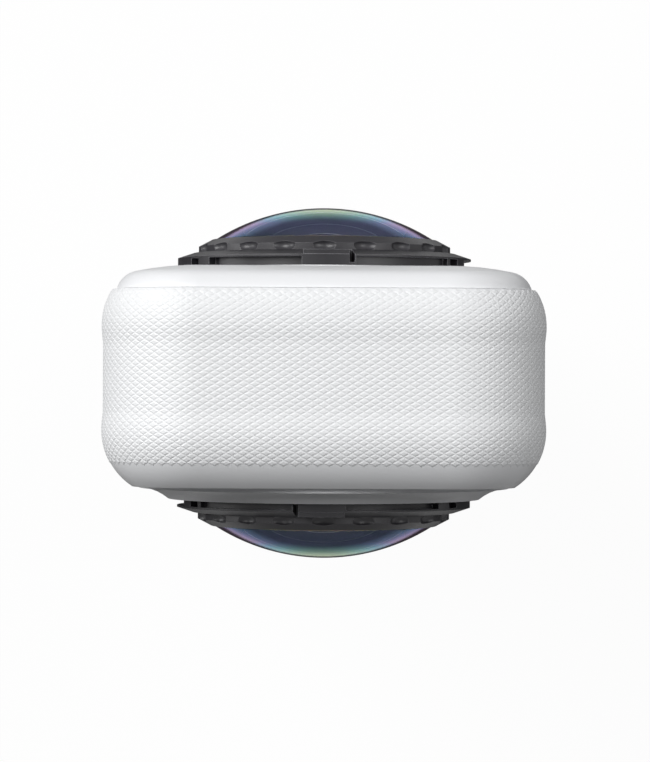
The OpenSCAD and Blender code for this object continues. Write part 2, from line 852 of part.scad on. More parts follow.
module battery_door() color(white) mirror([1, 0, 0]) difference() {
    door_leaf(battery_door_w, battery_hinge_z, battery_door_top);
    on_right() {
        translate([band_mid_y, latch_z + latch_recess_l / 2, latch_floor]) linear_extrude(wall)
            rounded_rect(latch_w + 2 * door_gap, latch_recess_l, door_round);
        translate([band_mid_y, latch_z + latch_recess_l / 2, in_x]) linear_extrude(wall)
            square([latch_stem + 2 * door_gap, latch_stem + latch_slide + 2 * door_gap], center = true);
    }
}

module battery_door_seal() color(rubber) mirror([1, 0, 0]) door_seal(battery_door_w - 2 * seal_inset,
    bay_z - seal_wall, seal_top_z, door_in_x - bay_mouth - fit);

module battery_hinge_pin() color(steel) mirror([1, 0, 0]) hinge_pin(battery_door_w, battery_hinge_z);

// The latch at rest is drawn back, and its tongue slides up behind the frame
module battery_latch() color(black) on_left() translate([band_mid_y, latch_z + door_gap, 0]) {
    stem_z = (latch_l - latch_stem) / 2;
    tongue_top = battery_door_top - door_gap - latch_z - door_gap;
    difference() {
        translate([0, latch_l / 2, latch_floor + run]) linear_extrude(half_w + waist_r - latch_floor - run)
            rounded_rect(latch_w, latch_l, door_round - door_gap);
        for (i = [-1:1])
            translate([0, latch_l / 2 + i * latch_stem / 2, half_w + waist_r]) rotate([0, 90, 0])
                cylinder(r = nail_depth / 2, h = latch_w - 2 * door_round, center = true);
    }
    translate([-latch_stem / 2, stem_z, tongue_out - tongue_t])
        cube([latch_stem, latch_stem, latch_floor + 2 * run - tongue_out + tongue_t]);
    translate([-tongue_w / 2, stem_z, tongue_out - tongue_t])
        cube([tongue_w, tongue_top - stem_z, tongue_t]);
}

// Power, card and port

module battery_bay() color(black) translate([-bay_mouth, 0, 0]) difference() {
    l = bay_mouth + bay_end;
    translate([0, bay_rear_y, bay_z]) cube([l, bay_front_y - bay_rear_y, bay_top - bay_z]);
    translate([-over, bay_rear_y + bay_wall, bay_z + bay_wall])
        cube([l - bay_wall + over, battery_t + 2 * fit, bay_top - bay_z - 2 * bay_wall]);
}

module battery_pack() color(rubber) translate([battery_inset - bay_mouth, battery_y, bay_z + bay_wall])
    difference() {
    l = bay_mouth + bay_end - bay_wall - contact_l - battery_inset - run;
    h = bay_top - bay_z - 2 * bay_wall - 2 * fit;
    cube([l, battery_t, h]);
    translate([-over, battery_t / 2, h / 2]) rotate([0, 90, 0])
        cylinder(r = battery_t / 4, h = over + battery_inset);
}

module battery_contacts() color(brass) for (i = [0:contacts - 1])
    translate([bay_end - bay_wall - contact_l,
        battery_y + battery_t / 2 + (i - (contacts - 1) / 2) * contact_pitch - contact_w / 2,
        bay_z + contact_rise])
        cube([contact_l, contact_w, contact_h]);

module card_reader() color(steel) translate([-bay_mouth, bay_rear_y, bay_top]) difference() {
    cube([reader_l, reader_w, reader_h]);
    translate([-over, reader_wall, reader_wall])
        cube([card_l + over, card_w + 2 * fit, card_t + fit]);
}

module memory_card() color(black)
    translate([fit - bay_mouth, bay_rear_y + reader_wall + fit, bay_top + reader_wall]) linear_extrude(card_t)
        polygon([[0, 0], [card_in_l, 0], [card_in_l, card_w - card_notch], [card_in_l - card_notch, card_w],
            [0, card_w]]);

module usb_port() color(steel) on_right() translate([band_mid_y, usb_z, usb_mouth - usb_shell_l]) {
    difference() {
        linear_extrude(usb_shell_l) pill(usb_shell_h, usb_shell_w);
        translate([0, 0, over]) linear_extrude(usb_shell_l)
            pill(usb_shell_h - 2 * usb_shell_t, usb_shell_w - 2 * usb_shell_t);
    }
    translate([-usb_tongue_t / 2, -usb_tongue_w / 2, over / 2])
        cube([usb_tongue_t, usb_tongue_w, usb_shell_l - 2 * over]);
}

module usb_board() color(board_green)
    translate([bay_end + fit, usb_board_top - board_t, usb_z - usb_board_l / 2])
        cube([usb_mouth - bay_end - 3 * fit, board_t, usb_board_l]);

// Sound and light

module speaker() color(black) upright() translate([0, speaker_z, cover_in_y - speaker_t]) {
    linear_extrude(speaker_t) rounded_rect(speaker_w, speaker_l, door_round);
}

// A plug from behind a cover: a stem in the hole and a flange on the inner face
module cover_plug(r, inner, outer) {
    translate([0, 0, inner - stem_flange_t]) cylinder(r = r + stem_flange_w, h = stem_flange_t);
    translate([0, 0, inner - run]) cylinder(r = r, h = outer - inner + run);
}

module microphone_meshes() color(black) {
    upright() translate([0, front_mic_z, 0]) cover_plug(mesh_r, cover_in_y, lens_seat - fit);
    on_rear() translate([0, key_z, 0]) cover_plug(mesh_r, rear_in, rear_face - fit);
}

module status_lamp() color(lamp_blue) upright() translate([0, lamp_z, 0])
    cover_plug(lamp_r, cover_in_y, lens_seat);

// Lens modules

// The fixed ring: a neck in the cover, a flange cut in under its lip, an index key and bayonet lips
module mount_ring() color(black) difference() {
    union() {
        rotate_extrude() polygon([
            [mount_in_r, lens_seat - mount_depth], [mount_neck_r, lens_seat - mount_depth],
            [mount_neck_r, lens_seat], [flange_r, lens_seat], [flange_r, lens_seat + flange_t],
            [ring_well_r + rim_t, lens_seat + crest_h], [ring_well_r, lens_seat + crest_h],
            [ring_well_r, shelf_z], [mount_in_r, shelf_z]
        ]);
        sector(key_start, key_angle)
            box_section(ring_well_r + run, flange_r - run, lens_seat + run, lens_seat + crest_h - run);
        for (i = [0:lugs - 1])
            sector(i * 360 / lugs - lug_angle / 2 - lug_cover, lug_angle + 2 * lug_cover)
                box_section(mount_in_r - lug_reach, mount_in_r + fit, shelf_z - bayonet_t, shelf_z);
    }
    for (i = [0:blocks - 1], cut = flange_cuts)
        sector(cut[0] + i * 360 / blocks, cut[1])
            box_section(flange_r - cut[2], flange_r + over, lens_seat - over,
                lens_seat + flange_t - flange_lip_t);
    sector(relief_start, relief_angle)
        box_section(flange_r - relief_depth, flange_r + over, lens_seat - over,
            lens_seat + flange_t - flange_lip_t);
    sector(key_start + key_angle - key_slit / 4, key_slit)
        box_section(mount_neck_r, flange_r + over, lens_seat + slit_floor, lens_seat + crest_h + over);
}

// The removable ring: a bevelled grip with oval scallops, a seat for the dome and a skirt with bayonet lugs
module lens_ring() color(black) {
    difference() {
        rotate_extrude() polygon([
            [skirt_in_r, skirt_z], [skirt_lip_r, skirt_z], [skirt_lip_r, skirt_z + skirt_lip_t],
            [skirt_r, skirt_z + skirt_lip_t], [skirt_r, ring_z], [ring_r, ring_z],
            [ring_r, ring_top - ring_bevel_h], [dome_r + 3 * run, ring_top], [dome_r + run, ring_top],
            [dome_r + run, dome_z], [dome_ledge_r, dome_z], [dome_ledge_r, dome_z - ring_ledge_t],
            [skirt_in_r, dome_z - ring_ledge_t]
        ]);
        for (i = [0:scallops - 1])
            rotate([0, 0, i * 360 / scallops])
                translate([ring_r + scallop_r - scallop_depth, 0, scallop_z])
                    rotate_extrude() translate([scallop_r - scallop_nose, 0]) circle(scallop_nose);
    }
    for (i = [0:lugs - 1])
        sector(i * 360 / lugs - lug_angle / 2, lug_angle)
            box_section(skirt_r - run, lug_r, lug_z, lug_z + lug_t);
}

module dome() color(glass) rotate_extrude() intersection() {
    difference() {
        translate([0, dome_c]) circle(dome_ball_r);
        translate([0, dome_c]) circle(dome_ball_r - dome_t);
    }
    box_section(0, dome_r, dome_z, dome_c + dome_ball_r + over);
}

module lens_seal() color(rubber) rotate_extrude() translate([seal_r, seal_z]) circle(seal_minor_r);

// A foot on the sensor board, a flared seat for the inner element, a stepped light baffle and a stop
module lens_barrel() color(black) rotate_extrude() polygon([
    [barrel_foot_r, board_z], [barrel_foot_r, board_z + barrel_foot_t],
    [barrel_neck_r, board_z + barrel_foot_t],
    [barrel_neck_r, barrel_flare_z], [barrel_r, barrel_flare_z + barrel_flare_h], [barrel_r, barrel_top],
    [element_r + fit, barrel_top], [element_r + fit, element_z], [aperture_r, element_z],
    [aperture_r, baffle_z], [baffle_r, baffle_z], [baffle_r, stop_z], [stop_r, stop_z],
    [stop_r, element_z / 2], [barrel_bore_r, element_z / 2], [barrel_bore_r, board_z]
]);

module inner_element() color(glass) rotate_extrude() intersection() {
    translate([0, element_c]) circle(element_ball_r);
    box_section(0, element_r, element_z, element_c + element_ball_r + over);
}

module image_sensor() color(sensor_blue) translate([-sensor_h / 2, -sensor_w / 2, board_z])
    cube([sensor_h, sensor_w, sensor_t]);

module sensor_board() color(board_green) translate([0, 0, mid_plate_t / 2]) linear_extrude(board_t)
    rounded_rect(sensor_board_w, sensor_board_w, door_round);

grip_frame();
front_cover();
rear_cover();
cover_gasket();
inner_chassis();
chassis_screws();
base_plate();
base_screws();
tripod_insert();
screen_glass();
display_panel();
main_board();
key_board();
side_key_board();
key_switches();
shutter_button();
lens_button();
power_button();
mode_button();
usb_door();
usb_door_seal();
usb_hinge_pin();
usb_port();
usb_board();
battery_door();
battery_door_seal();
battery_hinge_pin();
battery_latch();
battery_bay();
battery_pack();
battery_contacts();
card_reader();
memory_card();
speaker();
microphone_meshes();
status_lamp();
on_lens(0) mount_ring();  // front_mount_ring
on_lens(0) lens_ring();  // front_lens_ring
on_lens(0) dome();  // front_dome
on_lens(0) lens_seal();  // front_lens_seal
on_lens(0) lens_barrel();  // front_lens_barrel
on_lens(0) inner_element();  // front_inner_element
on_lens(0) image_sensor();  // front_image_sensor
on_lens(0) sensor_board();  // front_sensor_board
on_lens(180) mount_ring();  // rear_mount_ring
on_lens(180) lens_ring();  // rear_lens_ring
on_lens(180) dome();  // rear_dome
on_lens(180) lens_seal();  // rear_lens_seal
on_lens(180) lens_barrel();  // rear_lens_barrel
on_lens(180) inner_element();  // rear_inner_element
on_lens(180) image_sensor();  // rear_image_sensor
on_lens(180) sensor_board();  // rear_sensor_board
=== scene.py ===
"""Looks of a slim two-lens 360 degree camera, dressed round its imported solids.

Lengths in the dataclasses are millimetres, as on a drawing, and MM turns them into the frame's
metres.
"""

import logging
import math
from collections.abc import Callable, Sequence
from dataclasses import dataclass
from enum import Enum

import bpy
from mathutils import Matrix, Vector


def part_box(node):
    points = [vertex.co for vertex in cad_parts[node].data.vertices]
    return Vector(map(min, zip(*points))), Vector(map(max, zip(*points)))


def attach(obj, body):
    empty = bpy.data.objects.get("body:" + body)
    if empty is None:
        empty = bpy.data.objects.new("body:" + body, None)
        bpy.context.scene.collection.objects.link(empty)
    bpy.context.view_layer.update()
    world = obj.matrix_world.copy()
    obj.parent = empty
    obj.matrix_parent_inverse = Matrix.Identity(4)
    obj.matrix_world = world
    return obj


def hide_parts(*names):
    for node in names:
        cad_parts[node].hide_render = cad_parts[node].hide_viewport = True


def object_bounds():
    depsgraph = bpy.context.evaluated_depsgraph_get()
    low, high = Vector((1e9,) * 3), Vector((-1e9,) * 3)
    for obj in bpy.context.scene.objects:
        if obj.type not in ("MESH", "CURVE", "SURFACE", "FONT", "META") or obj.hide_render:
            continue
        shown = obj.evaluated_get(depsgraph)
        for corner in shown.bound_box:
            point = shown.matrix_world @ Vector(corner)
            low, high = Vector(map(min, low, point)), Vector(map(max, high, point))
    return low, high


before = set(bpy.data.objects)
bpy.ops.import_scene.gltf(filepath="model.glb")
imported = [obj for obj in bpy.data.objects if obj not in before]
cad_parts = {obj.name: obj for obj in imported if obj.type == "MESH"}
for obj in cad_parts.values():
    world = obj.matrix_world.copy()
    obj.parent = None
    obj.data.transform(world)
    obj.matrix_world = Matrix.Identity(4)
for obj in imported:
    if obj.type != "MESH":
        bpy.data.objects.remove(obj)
CAD_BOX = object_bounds()

MM = 0.001
log = logging.getLogger("camera_looks")

Colour = tuple[float, float, float, float]
Point = tuple[float, float, float]
Span = tuple[float, float]
Face = tuple[int, ...]
Tree = bpy.types.NodeTree
Socket = bpy.types.NodeSocket

# Sockets of the Mix node that carry colour
MIX_A, MIX_B, MIX_RESULT = 6, 7, 2
# A wave texture of scale 1 has this wave length
WAVE_LENGTH = 2 * math.pi / 20


def linear(hex_colour: str) -> Colour:
    """Turns an sRGB hex colour into the linear one that shaders take.

    Args:
        hex_colour: A colour such as "#EDEEF0".

    Returns:
        Linear red, green and blue, and an alpha of one.
    """
    def channel(pair: str) -> float:
        """One sRGB channel as a linear share."""
        share = int(pair, 16) / 255
        return share / 12.92 if share <= 0.04045 else ((share + 0.055) / 1.055) ** 2.4

    digits = hex_colour.lstrip("#")
    red, green, blue = (channel(digits[i:i + 2]) for i in (0, 2, 4))
    return red, green, blue, 1.0


def add_node(tree: Tree, kind: str, settings: dict | None = None, inputs: dict | None = None,
             family: str = "ShaderNode") -> bpy.types.Node:
    """Adds one node with its settings, values and links.

    Args:
        tree: The node tree that gets the node.
        kind: The node's class name after its family.
        settings: Attributes of the node.
        inputs: Values or output sockets, by the input's name or number.
        family: The first part of the node's class name.

    Returns:
        The new node.
    """
    node = tree.nodes.new(f"{family}{kind}")
    for name, value in (settings or {}).items():
        setattr(node, name, value)
    for name, value in (inputs or {}).items():
        if isinstance(value, Socket):
            tree.links.new(value, node.inputs[name])
        else:
            node.inputs[name].default_value = value
    return node


def per_size(size_mm: float) -> float:
    """The texture scale at which one feature measures size_mm."""
    return 1 / (size_mm * MM)


def direct_view(tree: Tree) -> Socket:
    """A factor that is one where the eye, a mirror or clear glass looks straight at a surface.

    Args:
        tree: The node tree that gets the nodes.

    Returns:
        The factor's socket.
    """
    path = add_node(tree, "LightPath")
    either = add_node(tree, "Math", {"operation": "MAXIMUM"}, {
        0: path.outputs["Is Camera Ray"], 1: path.outputs["Is Glossy Ray"]})
    return add_node(tree, "Math", {"operation": "MAXIMUM"}, {
        0: either.outputs["Value"], 1: path.outputs["Is Transmission Ray"]}).outputs["Value"]


@dataclass(frozen=True)
class Finish:
    """One procedural material, named for what the real one is and how it was made."""

    name: str

    def material(self) -> bpy.types.Material:
        """The finish's material, made on first use.

        Returns:
            The material.
        """
        known = bpy.data.materials.get(self.name)
        if known:
            return known
        made = bpy.data.materials.new(self.name)
        made.use_nodes = True
        tree = made.node_tree
        tree.nodes.clear()
        add_node(tree, "OutputMaterial", inputs={"Surface": self.shader(tree)})
        return made

    def shader(self, tree: Tree) -> Socket:
        """Builds the shader and gives the socket that goes to the output."""
        raise NotImplementedError


@dataclass(frozen=True)
class MouldedPlastic(Finish):
    """A moulded, machined or anodised surface: fine grain, faint clouding, and edges lightened
    partly as wear, partly as a painted highlight.

    A real eroded grain is near 0.05 mm. It is drawn coarser, so that it shows.
    """

    colour: str
    cloud: str
    rubbed_and_highlit: str
    roughness: float
    grain_mm: float = 0.28
    grain_depth_mm: float = 0.006
    edge_mm: float = 0.12
    cloud_mm: float = 9.0
    gloss_spread: float = 0.05
    grain_span: Span = (0.3, 0.7)
    # Cosine between the rounded and the true normal where the lighter edge (part wear, part
    # painted highlight) starts and where it is full
    rub_and_highlight_cosines: Span = (0.995, 0.8)
    rub_and_highlight_share: float = 0.8
    ior: float = 1.5

    def shader(self, tree: Tree) -> Socket:
        """Builds grain as bump and gloss, clouding as colour, and lighter rounded edges that are
        part wear, part painted highlight.

        Args:
            tree: The material's node tree.

        Returns:
            The shader's socket.
        """
        place = add_node(tree, "TexCoord").outputs["Object"]
        grain = add_node(tree, "TexNoise", inputs={
            "Vector": place, "Scale": per_size(self.grain_mm), "Detail": 2.0, "Roughness": 0.6})
        cloud = add_node(tree, "TexNoise", inputs={
            "Vector": place, "Scale": per_size(self.cloud_mm), "Detail": 3.0})
        rounded = add_node(tree, "Bevel", {"samples": 6}, {"Radius": self.edge_mm * MM})
        flat = add_node(tree, "NewGeometry")
        meeting = add_node(tree, "VectorMath", {"operation": "DOT_PRODUCT"}, {
            0: rounded.outputs["Normal"], 1: flat.outputs["Normal"]})
        # Rounded edges take the lighter colour: part wear, part painted highlight
        rub_and_highlight = add_node(tree, "MapRange", inputs={
            "Value": meeting.outputs["Value"], "From Min": self.rub_and_highlight_cosines[0],
            "From Max": self.rub_and_highlight_cosines[1], "To Max": self.rub_and_highlight_share})
        tone = add_node(tree, "Mix", {"data_type": "RGBA"}, {
            "Factor": cloud.outputs["Fac"],
            MIX_A: linear(self.colour), MIX_B: linear(self.cloud)})
        worn_and_highlit = add_node(tree, "Mix", {"data_type": "RGBA"}, {
            "Factor": rub_and_highlight.outputs["Result"],
            MIX_A: tone.outputs[MIX_RESULT], MIX_B: linear(self.rubbed_and_highlit)})
        gloss = add_node(tree, "MapRange", inputs={
            "Value": grain.outputs["Fac"],
            "From Min": self.grain_span[0], "From Max": self.grain_span[1],
            "To Min": self.roughness - self.gloss_spread,
            "To Max": self.roughness + self.gloss_spread})
        bump = add_node(tree, "Bump", inputs={
            "Strength": 1.0, "Distance": self.grain_depth_mm * MM,
            "Height": grain.outputs["Fac"], "Normal": rounded.outputs["Normal"]})
        return add_node(tree, "BsdfPrincipled", inputs={
            "Base Color": worn_and_highlit.outputs[MIX_RESULT], "Roughness": gloss.outputs["Result"],
            "IOR": self.ior, "Normal": bump.outputs["Normal"]}).outputs["BSDF"]


@dataclass(frozen=True)
class CoatedDome(Finish):
    """Ground and polished optical glass with a low-index coating that thins away from its middle.

    Seen at a glancing angle the film shows green in the middle, then teal and blue, and violet
    towards the edge.
    """

    axis_z_mm: float
    edge_r_mm: float
    middle_film_nm: float
    edge_film_nm: float
    # Share of the radius at which the film is down to its edge thickness
    thin_share: float = 0.75
    tint: str = "#E9ECF4"
    ior: float = 1.52
    film_ior: float = 1.14
    coat_share: float = 0.7
    coat_ior: float = 1.5

    def shader(self, tree: Tree) -> Socket:
        """Builds clear glass with a film whose thickness follows the distance from the lens axis.

        Args:
            tree: The material's node tree.

        Returns:
            The shader's socket.
        """
        place = add_node(tree, "TexCoord").outputs["Object"]
        centred = add_node(tree, "VectorMath", {"operation": "SUBTRACT"}, {
            0: place, 1: (0.0, 0.0, self.axis_z_mm * MM)})
        across = add_node(tree, "VectorMath", {"operation": "MULTIPLY"}, {
            0: centred.outputs["Vector"], 1: (1.0, 0.0, 1.0)})
        square = add_node(tree, "VectorMath", {"operation": "DOT_PRODUCT"}, {
            0: across.outputs["Vector"], 1: across.outputs["Vector"]})
        film = add_node(tree, "MapRange", inputs={
            "Value": square.outputs["Value"], "From Min": 0.0,
            "From Max": (self.thin_share * self.edge_r_mm * MM) ** 2,
            "To Min": self.middle_film_nm, "To Max": self.edge_film_nm})
        return add_node(tree, "BsdfPrincipled", inputs={
            "Base Color": linear(self.tint), "Roughness": 0.0, "IOR": self.ior,
            "Transmission Weight": 1.0, "Thin Film Thickness": film.outputs["Result"],
            "Thin Film IOR": self.film_ior, "Coat Weight": self.coat_share,
            "Coat Roughness": 0.0, "Coat IOR": self.coat_ior}).outputs["BSDF"]


@dataclass(frozen=True)
class MatchedGlass(Finish):
    """Polished glass behind glass of the same index: light goes straight on to the baffle."""

    tint: str = "#FFFFFF"
    haze: str = "#F3F5FA"
    haze_mm: float = 3.0
    ior: float = 1.0

    def shader(self, tree: Tree) -> Socket:
        """Builds a clear body with a faint haze and no bend of the light.

        Args:
            tree: The material's node tree.

        Returns:
            The shader's socket.
        """
        place = add_node(tree, "TexCoord").outputs["Object"]
        patches = add_node(tree, "TexNoise", inputs={
            "Vector": place, "Scale": per_size(self.haze_mm)})
        tone = add_node(tree, "Mix", {"data_type": "RGBA"}, {
            "Factor": patches.outputs["Fac"],
            MIX_A: linear(self.tint), MIX_B: linear(self.haze)})
        return add_node(tree, "BsdfPrincipled", inputs={
            "Base Color": tone.outputs[MIX_RESULT], "Roughness": 0.0, "IOR": self.ior,
            "Transmission Weight": 1.0}).outputs["BSDF"]


@dataclass(frozen=True)
class CoverGlass(Finish):
    """Hardened cover glass, printed dark on its back: deep gloss and faint smears."""

    colour: str
    smear_mm: float = 14.0
    smear_span: Span = (0.45, 0.75)
    roughness: Span = (0.03, 0.1)
    ior: float = 1.51

    def shader(self, tree: Tree) -> Socket:
        """Builds a mirror-smooth surface whose gloss changes a little where fingers were.

        Args:
            tree: The material's node tree.

        Returns:
            The shader's socket.
        """
        place = add_node(tree, "TexCoord").outputs["Object"]
        smear = add_node(tree, "TexNoise", inputs={
            "Vector": place, "Scale": per_size(self.smear_mm), "Detail": 6.0, "Distortion": 0.6})
        gloss = add_node(tree, "MapRange", inputs={
            "Value": smear.outputs["Fac"],
            "From Min": self.smear_span[0], "From Max": self.smear_span[1],
            "To Min": self.roughness[0], "To Max": self.roughness[1]})
        return add_node(tree, "BsdfPrincipled", inputs={
            "Base Color": linear(self.colour), "Roughness": gloss.outputs["Result"],
            "IOR": self.ior}).outputs["BSDF"]


@dataclass(frozen=True)
class WorkedMetal(Finish):
    """Plated, turned or pressed metal: fine marks of the tool and a slightly uneven shine.

    Real tool marks are finer. They are drawn as coarse as they need to be to show.
    """

    colour: str
    roughness: float
    mark_mm: float = 0.12
    mark_depth_mm: float = 0.004
    mark_strength: float = 0.6
    gloss_spread: float = 0.08

    def shader(self, tree: Tree) -> Socket:
        """Builds tool marks as a fine noise that changes gloss and bump.

        Args:
            tree: The material's node tree.

        Returns:
            The shader's socket.
        """
        place = add_node(tree, "TexCoord").outputs["Object"]
        marks = add_node(tree, "TexNoise", inputs={
            "Vector": place, "Scale": per_size(self.mark_mm), "Detail": 2.0})
        gloss = add_node(tree, "MapRange", inputs={
            "Value": marks.outputs["Fac"], "To Min": self.roughness - self.gloss_spread,
            "To Max": self.roughness + self.gloss_spread})
        bump = add_node(tree, "Bump", inputs={
            "Strength": self.mark_strength, "Distance": self.mark_depth_mm * MM,
            "Height": marks.outputs["Fac"]})
        return add_node(tree, "BsdfPrincipled", inputs={
            "Base Color": linear(self.colour), "Metallic": 1.0,
            "Roughness": gloss.outputs["Result"],
            "Normal": bump.outputs["Normal"]}).outputs["BSDF"]


@dataclass(frozen=True)
class SiliconeRubber(Finish):
    """Moulded silicone rubber: matt, faintly dusty, with no gloss on its edges."""

    colour: str
    dust: str
    dust_mm: float = 2.0
    roughness: float = 0.78
    ior: float = 1.41

    def shader(self, tree: Tree) -> Socket:
        """Builds a matt tone that dust lightens in patches.

        Args:
            tree: The material's node tree.

        Returns:
            The shader's socket.
        """
        place = add_node(tree, "TexCoord").outputs["Object"]
        patches = add_node(tree, "TexNoise", inputs={
            "Vector": place, "Scale": per_size(self.dust_mm), "Detail": 5.0})
        tone = add_node(tree, "Mix", {"data_type": "RGBA"}, {
            "Factor": patches.outputs["Fac"],
            MIX_A: linear(self.colour), MIX_B: linear(self.dust)})
        return add_node(tree, "BsdfPrincipled", inputs={
            "Base Color": tone.outputs[MIX_RESULT], "Roughness": self.roughness,
            "IOR": self.ior}).outputs["BSDF"]


@dataclass(frozen=True)
class CircuitLaminate(Finish):
    """Glass-fibre laminate under solder mask: the copper tracks show as a lighter green.

    Real tracks are near 0.15 mm. They are drawn coarser, so that they show.
    """

    mask: str
    track: str
    unit_mm: float = 4.0
    track_mm: float = 0.64
    run_mm: float = 9.6
    gap_mm: float = 0.12
    stagger: float = 0.35
    roughness: float = 0.35
    ior: float = 1.55

    def shader(self, tree: Tree) -> Socket:
        """Builds tracks as bricks whose mortar is the bare mask.

        Args:
            tree: The material's node tree.

        Returns:
            The shader's socket.
        """
        place = add_node(tree, "TexCoord").outputs["Object"]
        tracks = add_node(tree, "TexBrick", {"offset": self.stagger}, {
            "Vector": place, "Scale": per_size(self.unit_mm), "Color1": linear(self.track),
            "Color2": linear(self.mask), "Mortar": linear(self.mask),
            "Mortar Size": self.gap_mm / self.unit_mm, "Brick Width": self.run_mm / self.unit_mm,
            "Row Height": self.track_mm / self.unit_mm})
        return add_node(tree, "BsdfPrincipled", inputs={
            "Base Color": tracks.outputs["Color"], "Roughness": self.roughness,
            "IOR": self.ior}).outputs["BSDF"]


@dataclass(frozen=True)
class WovenWire(Finish):
    """Plain-woven acoustic mesh: two sets of dark wires, with a painted highlight on their crowns
    and painted shade in the gaps.

    A real mesh is near 0.1 mm. It is drawn ten times as coarse, so that the weave shows.
    """

    wire: str
    gap_shade: str
    pitch_mm: float = 1.0053
    crown_mm: float = 0.03
    metallic: float = 0.6
    roughness: float = 0.5

    def shader(self, tree: Tree) -> Socket:
        """Builds the weave from two crossed waves, used as tone and as bump.

        Args:
            tree: The material's node tree.

        Returns:
            The shader's socket.
        """
        place = add_node(tree, "TexCoord").outputs["Object"]
        ways = [add_node(tree, "TexWave", {"bands_direction": way}, {
            "Vector": place, "Scale": per_size(self.pitch_mm) * WAVE_LENGTH})
            for way in ("X", "Z")]
        weave = add_node(tree, "Math", {"operation": "MAXIMUM"}, {
            0: ways[0].outputs["Fac"], 1: ways[1].outputs["Fac"]})
        # Painted highlight and shade: the crowns take the lighter tone, the gaps a near-black
        tone = add_node(tree, "Mix", {"data_type": "RGBA"}, {
            "Factor": weave.outputs["Value"],
            MIX_A: linear(self.gap_shade), MIX_B: linear(self.wire)})
        bump = add_node(tree, "Bump", inputs={
            "Strength": 1.0, "Distance": self.crown_mm * MM, "Height": weave.outputs["Value"]})
        return add_node(tree, "BsdfPrincipled", inputs={
            "Base Color": tone.outputs[MIX_RESULT], "Metallic": self.metallic,
            "Roughness": self.roughness, "Normal": bump.outputs["Normal"]}).outputs["BSDF"]


@dataclass(frozen=True)
class LampDiffuser(Finish):
    """Milky polycarbonate light guide: light enters it a little, so it looks soft and wet."""

    colour: str
    haze_mm: float = 0.6
    roughness: Span = (0.2, 0.4)
    clear_share: float = 0.35
    ior: float = 1.58

    def shader(self, tree: Tree) -> Socket:
        """Builds a half-clear plastic with a cloudy body.

        Args:
            tree: The material's node tree.

        Returns:
            The shader's socket.
        """
        place = add_node(tree, "TexCoord").outputs["Object"]
        haze = add_node(tree, "TexNoise", inputs={
            "Vector": place, "Scale": per_size(self.haze_mm), "Detail": 3.0})
        gloss = add_node(tree, "MapRange", inputs={
            "Value": haze.outputs["Fac"],
            "To Min": self.roughness[0], "To Max": self.roughness[1]})
        return add_node(tree, "BsdfPrincipled", inputs={
            "Base Color": linear(self.colour), "Roughness": gloss.outputs["Result"],
            "IOR": self.ior, "Transmission Weight": self.clear_share}).outputs["BSDF"]


